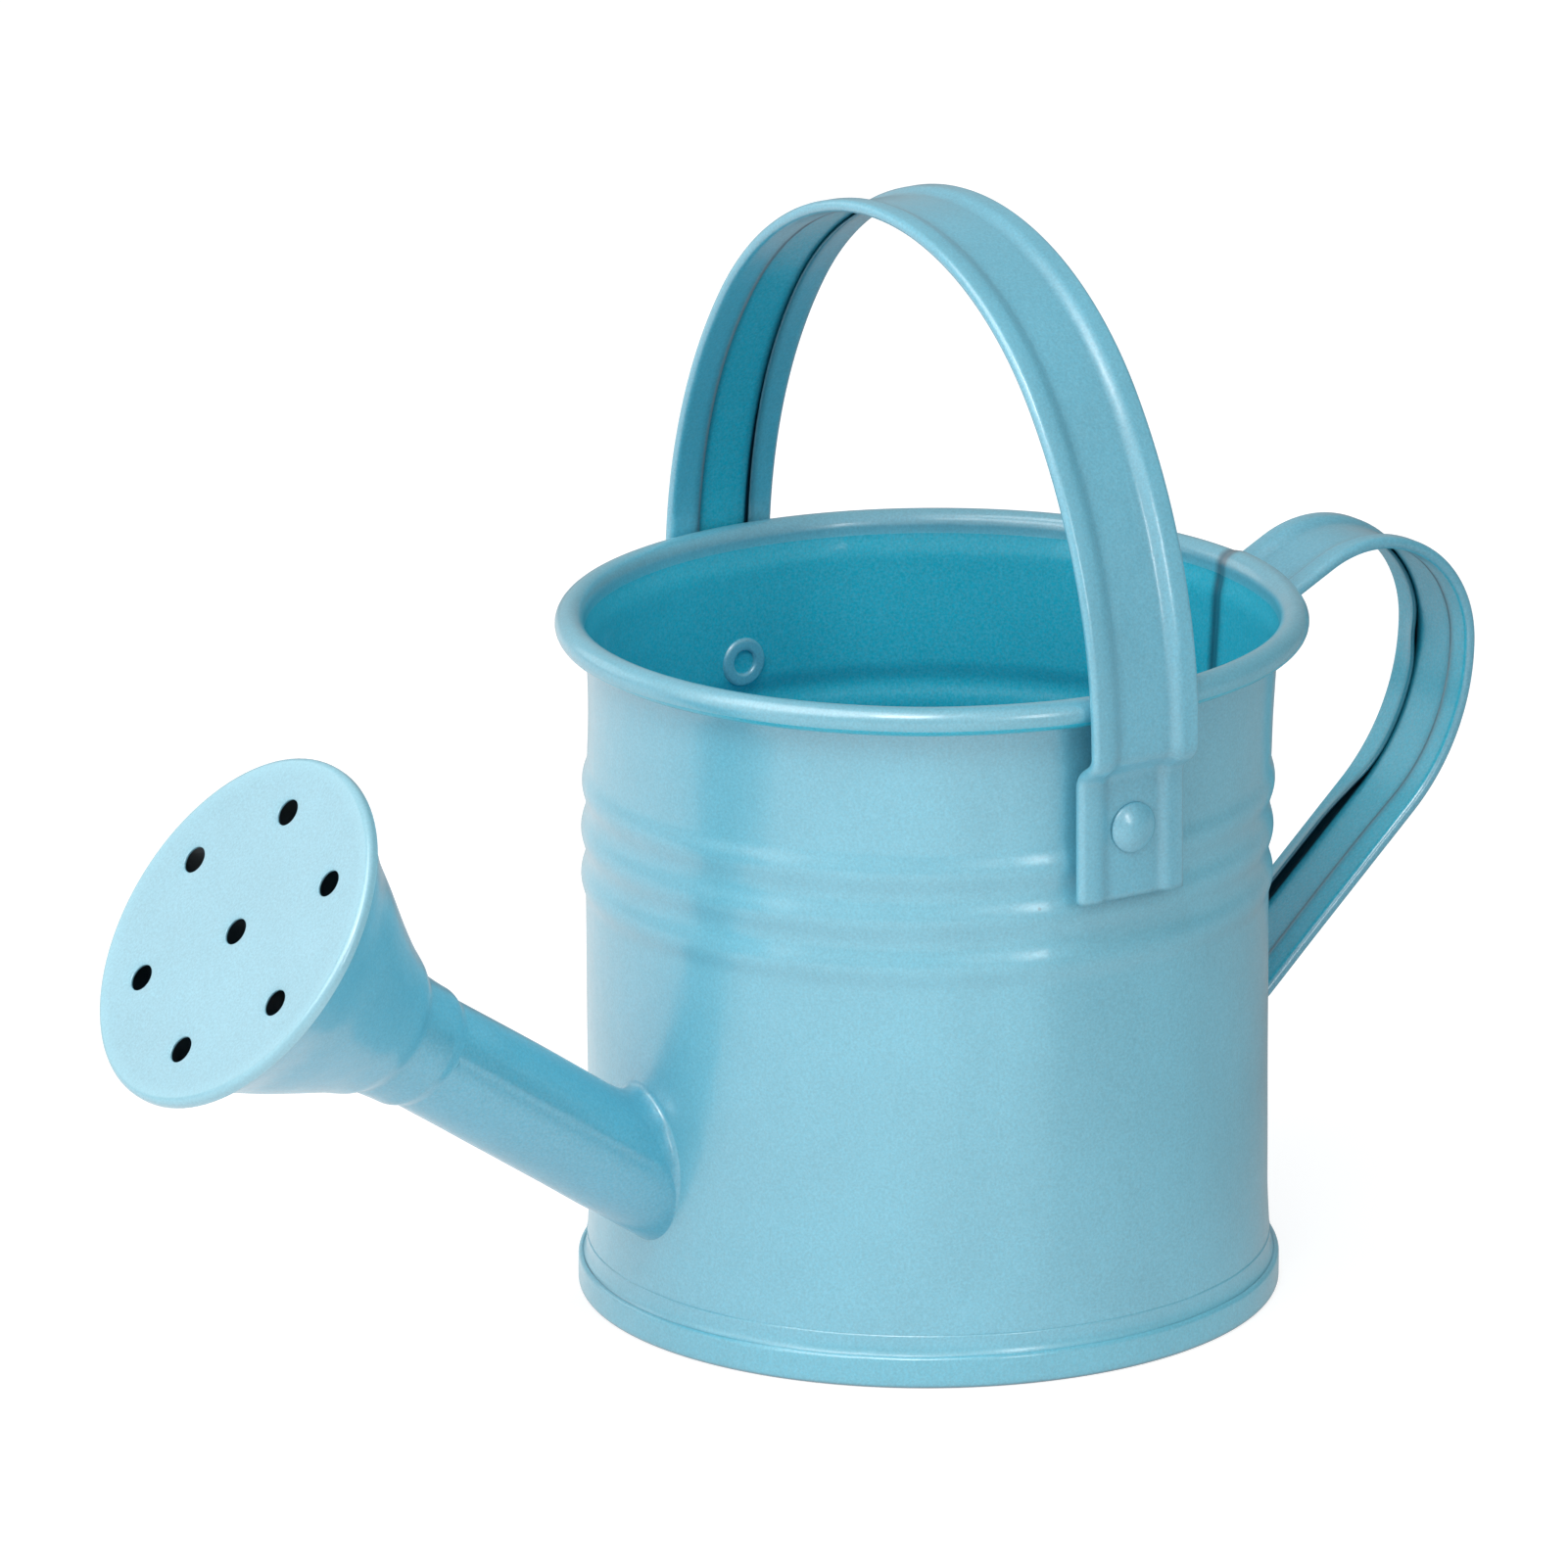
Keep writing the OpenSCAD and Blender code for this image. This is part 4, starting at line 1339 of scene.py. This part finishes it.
@dataclass
class Strap:
    """A tin strap with a sunk middle band and folded lips, bent along a path and round the wall."""

    name: str
    axis: Axis
    start: tuple[float, float]
    runs: list[Run]
    seat: float
    fade: float
    top: float
    width: float = 18.0
    thick: float = 1.8
    sheet: float = 0.4
    panel_half: float = 3.8
    lip_half: float = 6.4
    recess: float = 0.9
    hem_half: float = 4.3
    wall_r: float = 50.0
    step: float = 0.9
    # Shares of painted bounce light on the strap's under faces and on its hems' under faces.
    bounce_share: float = 1.0
    hem_bounce_share: float = 0.4

    def places(self) -> Grid:
        """Rows of place and heading along the whole path, with the run's length as a fourth column.

        Returns:
            The rows.
        """
        rows = [np.array([[*self.start, math.pi / 2]])]
        for run in self.runs:
            rows.append(run.walk(tuple(rows[-1][-1]), self.step))
        path = np.vstack(rows)
        gone = np.concatenate([[0.0], np.cumsum(np.linalg.norm(np.diff(path[:, :2], axis=0), axis=1))])
        return np.column_stack([path, gone])

    def sag(self, u: Grid) -> Grid:
        """How far the wall falls back from its front line at u to the side."""
        return self.wall_r - np.sqrt(self.wall_r**2 - u**2)

    def half_section(self, hem_in: Grid, hem_open: Grid) -> Grid:
        """Middle line of half the section at every place, from the hem's free edge to the middle.

        The hem runs flat under the lip and may open away from the band, the lip is a half circle,
        and the band sinks by half of 1 - cos.

        Args:
            hem_in: Distance of the hem's free edge from the middle, per place.
            hem_open: How far that edge stands off, per place.

        Returns:
            Places by points by (across, depth).
        """
        half, fold = self.sheet / 2, self.thick / 2
        turn_u = self.width / 2 - fold
        k = np.linspace(0, 1, 7)[None, :-1]
        hem_u = hem_in[:, None] * (1 - k) + turn_u * k
        hem_d = -self.thick + half - hem_open[:, None] * (1 - k) ** 1.5
        lip = arc(turn_u, -fold, fold - half, -90, 90, 12)
        u = np.linspace(self.lip_half, self.panel_half, 9)
        share = (u - self.panel_half) / (self.lip_half - self.panel_half)
        sink = self.recess * (1 + np.cos(np.pi * share)) / 2
        slope = np.stack([u, -half - sink], axis=1)
        band_u = np.linspace(self.panel_half, 0.0, 5)[1:]
        band = np.stack([band_u, -half - self.recess + 0 * band_u], axis=1)
        fixed = np.vstack([lip, slope, band])
        n = len(hem_in)
        return np.concatenate(
            [np.stack([hem_u, hem_d], axis=-1), np.broadcast_to(fixed, (n, *fixed.shape))], axis=1
        )

    def hems(self, s: Grid) -> tuple[Grid, Grid, Grid, Grid]:
        """Free edge and opening of each hem along the strap: both wander a little.

        Args:
            s: Length along the strap.

        Returns:
            Edge and opening on the side of -width, then on the side of +width.
        """
        zero = 0 * s
        near = self.hem_half + 0.25 * ripple(s * 0.12, zero, 51)
        far = self.hem_half + 0.25 * ripple(s * 0.11, zero, 52)
        return near, 0.08 + 0.06 * ripple(s * 0.1, zero, 53), far, 0.08 + 0.06 * ripple(s * 0.09, zero, 54)

    def build(self) -> bpy.types.Object:
        """Sweeps the section: across runs along the strap's width, depth against its normal.

        Returns:
            The strap, with both ends closed by bands between the faces of its sheet.
        """
        rows = self.places()
        s = rows[:, 3]
        near_in, near_open, far_in, far_open = self.hems(s)
        right = self.half_section(far_in, far_open)
        left = self.half_section(near_in, near_open)[:, ::-1][:, 1:].copy()
        left[..., 0] *= -1
        middle = np.concatenate([right, left], axis=1)
        d = np.gradient(middle, axis=1)
        d /= np.linalg.norm(d, axis=-1, keepdims=True)
        n = np.stack([d[..., 1], -d[..., 0]], axis=-1)
        half = self.sheet / 2
        loop = np.concatenate([middle + half * n, (middle - half * n)[:, ::-1]], axis=1)
        u, depth = loop[..., 0], loop[..., 1]
        x, z, g = rows[:, 0:1], rows[:, 1:2], rows[:, 2:3]
        hug = np.where(z > self.top, 0.0, np.clip((self.seat + self.fade - np.abs(x)) / self.fade, 0, 1))
        wob = -0.05 * (1 + ripple(s[:, None] * 0.07 + 0 * u, u * 0.2, 55)).clip(0.0, 2.0)
        wob = wob * smooth(s, 14.0, 30.0)[:, None] * (1 - smooth(s, s[-1] - 30.0, s[-1] - 14.0))[:, None]
        out = x + (depth + wob) * np.sin(g) - np.sign(x) * hug * self.sag(u)
        up = z - (depth + wob) * np.cos(g)
        across, width = np.array(self.axis.value[0]), np.array(self.axis.value[1])
        points = out[..., None] * across + u[..., None] * width + up[..., None] * np.array([0.0, 0.0, 1.0])
        count, m = len(rows), middle.shape[1]
        quads = grid_quads(count, 2 * m, False, True)
        j = np.arange(m - 1)
        cap = np.stack([j, j + 1, 2 * m - 2 - j, 2 * m - 1 - j], axis=1)
        quads = np.vstack([quads, cap, cap[:, ::-1] + (count - 1) * 2 * m])
        # Painted shade: in the pocket behind each hem, faintly along the sunk band's slopes, and along each
        # hem's free edge underneath.
        under = np.arange(2 * m)[None, :] >= m
        painted_shade = 0.95 * (under & (np.abs(u) > self.hem_half + 0.1))
        valley = hump(np.abs(u), self.panel_half + 0.5, 0.8) * (depth > -self.recess - 0.25)
        painted_shade = np.maximum(painted_shade, 0.10 * valley)
        hem_at = np.where(u > 0, far_in[:, None], near_in[:, None])
        beside = hump(np.abs(u) - hem_at, 0.0, 0.8) * (depth < -self.recess - 0.1)
        painted_shade = np.maximum(painted_shade, 0.6 * beside)
        # Painted highlight along the folded lips.
        painted_highlight = 0.10 * hump(np.abs(u), self.width / 2 - 0.9, 0.7) * (depth > -0.5)
        # Painted bounce light under the strap: the more saturated teal on its under faces and, by a share, on
        # the hems.
        inside = self.bounce_share * np.maximum(under, self.hem_bounce_share * (depth < -self.thick + 0.2))
        return make_piece(self.name, points, quads, {"painted_shade": painted_shade, "painted_highlight": painted_highlight, "inside": inside})


@dataclass
class OpenStrap(Strap):
    """The rear handle's strap, whose hem on one side has sprung open in two places."""

    def hems(self, s: Grid) -> tuple[Grid, Grid, Grid, Grid]:
        """As for a plain strap, with a long and a short opening of the hem towards -width.

        Args:
            s: Length along the strap.

        Returns:
            Edge and opening on the side of -width, then on the side of +width.
        """
        near, near_open, far, far_open = super().hems(s)
        long = smooth(s, 13.0, 18.0) * (1 - smooth(s, 44.0, 60.0))
        short = hump(s, 78.0, 3.4)
        near_gap = 0.1 * near_open + 1.0 * long + 0.6 * short
        return near + 0.5 * long, near_gap, far, 0.2 * far_open + 0.25 * long


def bail_runs(straight_len: float, half_w: float, rise: float, shift: float, foot: float) -> list[Run]:
    """Pieces of the bail's path, from one tab over the arch to the other.

    The shoulder's radius follows from the crown's, so that both meet with one tangent:
    (h^2 / d + crown + half width) / 2, where h is the height between their centres and d the
    difference between half the width and the crown's radius.

    Args:
        straight_len: Straight length above the step.
        half_w: Half width of the arch at its outer face.
        rise: Height of the arch's top above the step.
        shift: How far the step moves the leg outwards.
        foot: Length of the tab up to the step.

    Returns:
        The pieces.
    """
    thick, inner_r, slope, less = 1.8, 2.0, 50.0, 5.7
    bend = 2 * inner_r + thick
    crown = half_w - less
    h = rise - crown - straight_len
    shoulder = (h**2 / less + crown + half_w) / 2
    turn = math.degrees(math.atan2(h, shoulder - half_w))
    slant = (shift - bend * (1 - math.cos(math.radians(slope)))) / math.sin(math.radians(slope))
    up = [
        Run(foot),
        Run(radius=inner_r, turn=-slope),
        Run(slant),
        Run(radius=inner_r + thick, turn=slope),
        Run(straight_len),
        Run(radius=shoulder, turn=turn),
    ]
    return up + [Run(radius=crown, turn=180 - 2 * turn)] + up[::-1]


@dataclass
class Bail:
    """The swinging strap handle."""

    pivot_z: float = 81.7
    tab_foot: float = 10.3
    arch_top_z: float = 162.4
    step_top_z: float = 93.8
    half_w: float = 56.7
    bead_rise: float = 0.65
    tab_gap: float = 0.3
    strap_w: float = 18.0
    strap_t: float = 1.8
    wall_r: float = 50.0

    @property
    def tab_out(self) -> float:
        """Distance of the tab's lips from the can's axis."""
        sag = self.wall_r - math.sqrt(self.wall_r**2 - (self.strap_w / 2) ** 2)
        return self.wall_r + self.bead_rise + sag + self.tab_gap + self.strap_t

    def build(self, dresser: Dresser) -> None:
        """Builds and paints the bail.

        Args:
            dresser: Where the finishes come from.
        """
        shift = self.half_w - self.tab_out
        bend, slope = 2 * 2.0 + self.strap_t, math.radians(50.0)
        slant = (shift - bend * (1 - math.cos(slope))) / math.sin(slope)
        step_h = bend * math.sin(slope) + slant * math.cos(slope)
        foot_z = self.pivot_z - self.tab_foot
        foot = self.step_top_z - step_h - foot_z
        strap = Strap(
            name="bail_hoop",
            axis=Axis.ACROSS,
            start=(self.tab_out, foot_z),
            runs=bail_runs(0.4, self.half_w, self.arch_top_z - self.step_top_z, shift, foot),
            seat=self.tab_out,
            fade=shift,
            top=self.step_top_z,
        )
        hoop = settle(strap.build(), "bail", "bail_paint", "bail_strap")
        dresser.dress(hoop, BAIL_PAINT, BOUNCE_LIT_PAINT)


@dataclass
class RearHandle:
    """The fixed strap behind the can, bent flat onto the wall at both ends."""

    wall_r: float = 50.0
    seat_play: float = 0.01
    strap_t: float = 1.8
    reach: float = 41.7
    top_r: float = 18.2
    back_r: float = 34.0
    rise: float = 27.0
    corner_z: float = 92.5
    foot_z: float = 32.4
    bend_r: float = 2.0
    upper_tab: float = 8.4
    lower_tab: float = 12.0
    weld_r: float = 1.5
    weld_pitch: float = 4.2
    low_weld: tuple[float, float] = (0.0, 0.53)
    high_weld: tuple[float, float] = (0.62, 0.93)

    def build_welds(self, low_z: float, high_z: float) -> bpy.types.Object:
        """Two spot welds a tab: short drums with soft edges between the wall and the strap's band.

        The upper pair starts further out, because the rim's set carries the wall there with it.

        Args:
            low_z: Height of the middle of the lower tab.
            high_z: Height of the middle of the upper tab.

        Returns:
            The welds.
        """
        turns = full_turn(32)
        drums: list[Grid] = []
        for middle, (first, last) in ((low_z, self.low_weld), (high_z, self.high_weld)):
            outline = np.array(
                [
                    [0.0, first],
                    [self.weld_r, first],
                    [self.weld_r, last - 0.05],
                    [self.weld_r - 0.1, last],
                    [0.0, last],
                ]
            )
            for side in (-0.5, 0.5):
                drum = revolved(outline, turns)
                x, z = -self.wall_r - drum[..., 2], middle + side * self.weld_pitch + drum[..., 0]
                drums.append(np.stack([x, drum[..., 1], z], axis=-1))
        rows, cols = drums[0].shape[:2]
        cells = grid_quads(rows, cols, True, False)
        quads = np.vstack([cells + i * rows * cols for i in range(len(drums))])
        return make_piece("grip_welds", np.concatenate(drums).reshape(-1, 3), quads)

    def build(self, dresser: Dresser) -> None:
        """Builds and paints the handle and its welds.

        The slope starts tangent to the lower bend and ends tangent to the back arc: its angle is
        that of the line from the foot to the arc's centre, less asin(radius / distance).

        Args:
            dresser: Where the finishes come from.
        """
        low, high = self.wall_r + self.seat_play + self.strap_t, self.wall_r + self.seat_play
        out = self.wall_r + self.reach
        rise = math.radians(self.rise)
        top_s = out - self.top_r
        mid_z = self.corner_z + (top_s - high) * math.tan(rise) - self.top_r / math.cos(rise)
        to_back = np.array([out - self.back_r - low, mid_z - self.foot_z])
        far = float(np.linalg.norm(to_back))
        slope = math.degrees(math.atan2(to_back[1], to_back[0]) - math.asin(self.back_r / far))
        slope_len = math.sqrt(far**2 - self.back_r**2)
        bite = self.bend_r * math.tan(math.radians(90 - slope) / 2)
        head = 90 - self.rise
        head_bite = (self.bend_r + self.strap_t) * math.tan(math.radians(head) / 2)
        touch = np.array([top_s - self.top_r * math.sin(rise), mid_z + self.top_r * math.cos(rise)])
        rise_len = float(np.linalg.norm(touch - np.array([high, self.corner_z])))
        strap = OpenStrap(
            name="rear_grip",
            axis=Axis.REAR,
            start=(low, self.foot_z - bite - self.lower_tab),
            runs=[
                Run(self.lower_tab),
                Run(radius=self.bend_r, turn=-(90 - slope)),
                Run(slope_len - bite),
                Run(radius=self.back_r, turn=90 - slope),
                Run(radius=self.top_r, turn=90 + self.rise),
                Run(rise_len - head_bite),
                Run(radius=self.bend_r + self.strap_t, turn=head),
                Run(self.upper_tab),
            ],
            seat=low,
            fade=3.0,
            top=101.8,
            bounce_share=0.7,
            hem_bounce_share=1.0,
        )
        grip = settle(strap.build(), "can", "handle_paint", "rear_handle")
        dresser.dress(grip, HANDLE_PAINT, UNDER_PAINT)
        welds = self.build_welds(
            self.foot_z - bite - self.lower_tab / 2, self.corner_z - head_bite - self.upper_tab / 2
        )
        dresser.dress(settle(welds, "can", "handle_paint", "handle_welds"), HANDLE_PAINT)


@dataclass
class Rivet:
    """A shouldered rivet with a domed head outside and a rolled hollow tail inside."""

    side: Side
    pivot_z: float = 81.7
    head_r: float = 4.0
    head_h: float = 1.9
    shank_r: float = 2.4
    shoulder_r: float = 3.0
    tail_r: float = 3.65
    tail_h: float = 1.1
    bore_r: float = 1.75
    bore_len: float = 2.6
    head_seat: float = 52.596
    shoulder_out: float = 52.062
    shoulder_in: float = 50.142
    tail_seat: float = 49.445

    def profile(self) -> Grid:
        """Half section (r, distance from the can's axis), from the bore's end round to the dome's top.

        Returns:
            The outline, both ends on the rivet's axis.
        """
        ball = (self.head_r**2 + self.head_h**2) / (2 * self.head_h)
        mid = self.head_seat + self.head_h - ball
        low = math.degrees(math.asin((self.head_seat + 0.35 - mid) / ball))
        dome = arc(0.0, mid, ball, low, 90, 18)
        edge_r = float(dome[0, 0])
        tail_in = self.tail_seat - self.tail_h
        roll = self.tail_h / 2
        lip = arc(self.bore_r + 0.45, tail_in + 0.4, 0.45, 180, 270, 5)
        return joined(
            straight((0.0, tail_in + self.bore_len), (self.bore_r - 0.3, tail_in + self.bore_len), 4),
            arc(self.bore_r - 0.3, tail_in + self.bore_len - 0.3, 0.3, 90, 0, 4),
            straight((self.bore_r, tail_in + self.bore_len - 0.3), tuple(lip[0]), 5),
            lip,
            arc(self.tail_r - roll, tail_in + roll, roll, -90, 90, 10),
            straight((self.tail_r - roll, self.tail_seat), (self.shank_r, self.tail_seat), 3),
            straight((self.shank_r, self.tail_seat), (self.shank_r, self.shoulder_in), 3),
            straight((self.shank_r, self.shoulder_in), (self.shoulder_r, self.shoulder_in), 2),
            straight((self.shoulder_r, self.shoulder_in), (self.shoulder_r, self.shoulder_out), 4),
            straight((self.shoulder_r, self.shoulder_out), (self.shank_r, self.shoulder_out), 2),
            straight((self.shank_r, self.shoulder_out), (self.shank_r, self.head_seat), 2),
            straight((self.shank_r, self.head_seat), (edge_r - 0.15, self.head_seat), 5),
            arc(edge_r - 0.18, self.head_seat + 0.18, 0.18, -90, 0, 4),
            dome,
        )

    def build(self, dresser: Dresser) -> None:
        """Turns the profile about the rivet's axis, with slight dents in the head, and paints it.

        Args:
            dresser: Where the finishes come from.
        """
        profile = self.profile()
        turns = full_turn(96)
        local = revolved(profile, turns)
        r, h = np.hypot(local[..., 0], local[..., 1]), local[..., 2]
        dome = smooth(h, self.head_seat + 0.5, self.head_seat + 1.5)
        bumps = ripple(local[..., 0] * 1.1, local[..., 1] * 1.1, 61 + self.side.value)
        local[..., 2] -= 0.05 * dome * (1 + bumps)
        sign = self.side.value
        points = np.stack([local[..., 0], sign * local[..., 2], self.pivot_z - sign * local[..., 1]], axis=-1)
        # Painted shade in the gap under the head, inside the bore and round the tail's seat.
        painted_shade = 0.8 * hump(h, self.head_seat, 0.22) * (r > 3.0)
        painted_shade = np.maximum(painted_shade, 0.85 * (r < self.bore_r - 0.1) * (h < 51.5) * (h > 48.8))
        painted_shade = np.maximum(painted_shade, 0.5 * hump(h, self.tail_seat, 0.2) * (r > 2.6))
        name = f"{self.side.name.lower()}_rivet"
        quads = grid_quads(len(turns), len(profile), True, False)
        node = f"bail_rivet_{self.side.name.lower()}"
        piece = settle(make_piece(name, points, quads, {"painted_shade": painted_shade}), "can", "rivet_paint", node)
        dresser.dress(piece, RIVET_PAINT)


# ---------------------------------------------------------------- the studio


@dataclass(frozen=True)
class Softbox:
    """A rectangular lamp that faces the can."""

    name: str
    azimuth: float
    height: float
    distance: float
    size: tuple[float, float]
    power: float
    tint: tuple[float, float, float] = (1.0, 1.0, 1.0)

    def light(self, aim: Vector) -> None:
        """Hangs the lamp and turns it to the point it lights.

        Args:
            aim: That point.
        """
        data = bpy.data.lights.new(self.name, "AREA")
        data.shape = "RECTANGLE"
        data.size, data.size_y = self.size
        data.energy = self.power
        data.color = self.tint
        lamp = bpy.data.objects.new(self.name, data)
        a = math.radians(self.azimuth)
        lamp.location = (self.distance * math.sin(a), -self.distance * math.cos(a), self.height)
        lamp.rotation_euler = (aim - lamp.location).to_track_quat("-Z", "Y").to_euler()
        bpy.context.scene.collection.objects.link(lamp)


@dataclass
class Studio:
    """Pale floor, soft lamps and the camera."""

    view_azimuth: float = VIEW_AZIMUTH
    view_height: float = 16.694
    view_roll: float = 0.363
    view_distance: float = 2000.0
    aim_z: float = 60.0
    slide: tuple[float, float] = (-20.703, 14.475)
    lens: float = 316.19
    room_light: float = 0.64
    shade_turn: float = 20.0
    lamps: tuple[Softbox, ...] = (
        Softbox("left window", VIEW_AZIMUTH - 62.0, 0.45, 1.20, (0.9, 0.7), 1.2),
        Softbox("back window", VIEW_AZIMUTH - 119.0, 0.50, 1.20, (0.8, 0.6), 1.0),
        Softbox("high left window", VIEW_AZIMUTH - 52.0, 1.35, 0.95, (1.4, 1.4), 11.0),
        Softbox("high front window", VIEW_AZIMUTH - 10.0, 1.40, 1.10, (0.4, 0.5), 4.6),
        Softbox("side strip", VIEW_AZIMUTH + 30.0, 0.60, 1.35, (0.18, 0.5), 1.6),
    )

    def build(self) -> None:
        """Sets up the floor, the lamps, the world and the camera."""
        self._floor()
        for lamp in self.lamps:
            lamp.light(Vector((0.0, 0.0, 0.06)))
        self._world()
        self._camera()
        bpy.context.scene.view_settings.view_transform = "Standard"

    def _floor(self) -> None:
        """A wide pale disc. To the camera it is mostly white by itself, and the shadow still shows. To glossy
        reflections it glows less and less towards the right and back: a painted reflection, bright on the
        can's left and shaded on its right.
        """
        radii = np.concatenate([[0.0], np.geomspace(40.0, 4000.0, 40)])
        turns = full_turn(64)
        profile = np.stack([radii, 0 * radii - 0.02], axis=1)
        cells = grid_quads(len(turns), len(radii), True, False)
        piece = make_piece("floor", revolved(profile, turns), cells)
        mat = bpy.data.materials.new("pale floor")
        mat.use_nodes = True
        tree = mat.node_tree
        out = next(n for n in tree.nodes if n.type == "OUTPUT_MATERIAL")
        base = next(n for n in tree.nodes if n.type == "BSDF_PRINCIPLED")
        base.inputs["Base Color"].default_value = (0.30, 0.30, 0.30, 1.0)
        base.inputs["Roughness"].default_value = 0.9
        plain = tree.nodes.new("ShaderNodeBsdfDiffuse")
        plain.inputs["Color"].default_value = (0.78, 0.79, 0.80, 1.0)
        glow = tree.nodes.new("ShaderNodeEmission")
        where = tree.nodes.new("ShaderNodeTexCoord").outputs["Object"]
        level = tree.nodes.new("ShaderNodeMix")
        tree.links.new(tree.nodes.new("ShaderNodeLightPath").outputs["Is Camera Ray"], level.inputs[0])
        tree.links.new(self._fall(tree, where, -0.04, 0.12, 0.55, 0.0), level.inputs[2])
        level.inputs[3].default_value = 0.80
        tree.links.new(level.outputs[0], glow.inputs["Strength"])
        both = tree.nodes.new("ShaderNodeAddShader")
        tree.links.new(base.outputs[0], both.inputs[0])
        tree.links.new(glow.outputs[0], both.inputs[1])
        pick = tree.nodes.new("ShaderNodeMixShader")
        tree.links.new(self._seen(tree), pick.inputs[0])
        tree.links.new(plain.outputs[0], pick.inputs[1])
        tree.links.new(both.outputs[0], pick.inputs[2])
        tree.links.new(pick.outputs[0], out.inputs["Surface"])
        piece.data.materials.append(mat)

    def _seen(self, tree: bpy.types.NodeTree) -> bpy.types.NodeSocket:
        """Whether a ray comes from the camera or from a glossy reflection."""
        path = tree.nodes.new("ShaderNodeLightPath")
        either = tree.nodes.new("ShaderNodeMath")
        either.operation = "MAXIMUM"
        tree.links.new(path.outputs["Is Camera Ray"], either.inputs[0])
        tree.links.new(path.outputs["Is Glossy Ray"], either.inputs[1])
        return either.outputs[0]

    def _fall(
        self,
        tree: bpy.types.NodeTree,
        where: bpy.types.NodeSocket,
        start: float,
        end: float,
        near: float,
        far: float,
    ) -> bpy.types.NodeSocket:
        """A value that falls towards the right and the back of the view.

        Args:
            tree: Nodes of the floor or the world.
            where: A place or a direction.
            start: How far to the right the fall begins.
            end: How far to the right it ends.
            near: Value before the fall.
            far: Value after it.

        Returns:
            The value's socket.
        """
        dot = tree.nodes.new("ShaderNodeVectorMath")
        dot.operation = "DOT_PRODUCT"
        a = math.radians(self.view_azimuth + self.shade_turn)
        dot.inputs[1].default_value = (math.cos(a), math.sin(a), 0.0)
        tree.links.new(where, dot.inputs[0])
        fall = tree.nodes.new("ShaderNodeMapRange")
        for key, number in (("From Min", start), ("From Max", end), ("To Min", near), ("To Max", far)):
            fall.inputs[key].default_value = number
        tree.links.new(dot.outputs["Value"], fall.inputs["Value"])
        return fall.outputs["Result"]

    def _world(self) -> None:
        """White to the camera; for reflections a white that falls to the right; a plain grey light."""
        world = bpy.data.worlds.new("room")
        bpy.context.scene.world = world
        world.use_nodes = True
        tree = world.node_tree
        tree.nodes.clear()
        out = tree.nodes.new("ShaderNodeOutputWorld")
        where = tree.nodes.new("ShaderNodeTexCoord").outputs["Generated"]
        path = tree.nodes.new("ShaderNodeLightPath")
        room, mirrored, white = (tree.nodes.new("ShaderNodeBackground") for _ in range(3))
        room.inputs["Color"].default_value = (0.93, 0.97, 1.0, 1.0)
        room.inputs["Strength"].default_value = self.room_light
        mirrored.inputs["Color"].default_value = (1.0, 1.0, 1.0, 1.0)
        tree.links.new(self._fall(tree, where, 0.1, 0.9, 0.48, 0.12), mirrored.inputs["Strength"])
        white.inputs["Color"].default_value = (1.0, 1.0, 1.0, 1.0)
        white.inputs["Strength"].default_value = 1.0
        last = room.outputs[0]
        for key, shader in (("Is Glossy Ray", mirrored), ("Is Camera Ray", white)):
            pick = tree.nodes.new("ShaderNodeMixShader")
            tree.links.new(path.outputs[key], pick.inputs[0])
            tree.links.new(last, pick.inputs[1])
            tree.links.new(shader.outputs[0], pick.inputs[2])
            last = pick.outputs[0]
        tree.links.new(last, out.inputs["Surface"])

    def _camera(self) -> None:
        """A long lens, slid sideways and up from the line to the aim, with a slight roll."""
        a, e, roll = (math.radians(v) for v in (self.view_azimuth, self.view_height, self.view_roll))
        back = Vector((math.sin(a) * math.cos(e), -math.cos(a) * math.cos(e), math.sin(e)))
        right = Vector((math.cos(a), math.sin(a), 0.0))
        up = back.cross(right)
        place = Vector((0.0, 0.0, self.aim_z)) + self.view_distance * back
        place += self.slide[0] * right + self.slide[1] * up
        x = math.cos(roll) * right - math.sin(roll) * up
        y = math.sin(roll) * right + math.cos(roll) * up
        data = bpy.data.cameras.new("camera")
        data.lens, data.sensor_width = self.lens, 36.0
        data.clip_start, data.clip_end = 0.05, 20.0
        camera = bpy.data.objects.new("camera", data)
        camera.matrix_world = Matrix.Translation(place * MM) @ Matrix((x, y, back)).transposed().to_4x4()
        bpy.context.scene.collection.objects.link(camera)
        bpy.context.scene.camera = camera


def main() -> None:
    """Builds the whole model, then the studio."""
    logging.basicConfig(level=logging.INFO, format="%(name)s: %(message)s")
    dresser = Dresser()
    CanBody().build(dresser)
    Spout().build(dresser)
    Rose().build(dresser)
    RearHandle().build(dresser)
    Bail().build(dresser)
    Rivet(Side.LEFT).build(dresser)
    Rivet(Side.RIGHT).build(dresser)
    Studio().build()


if __name__ == "__main__":
    main()
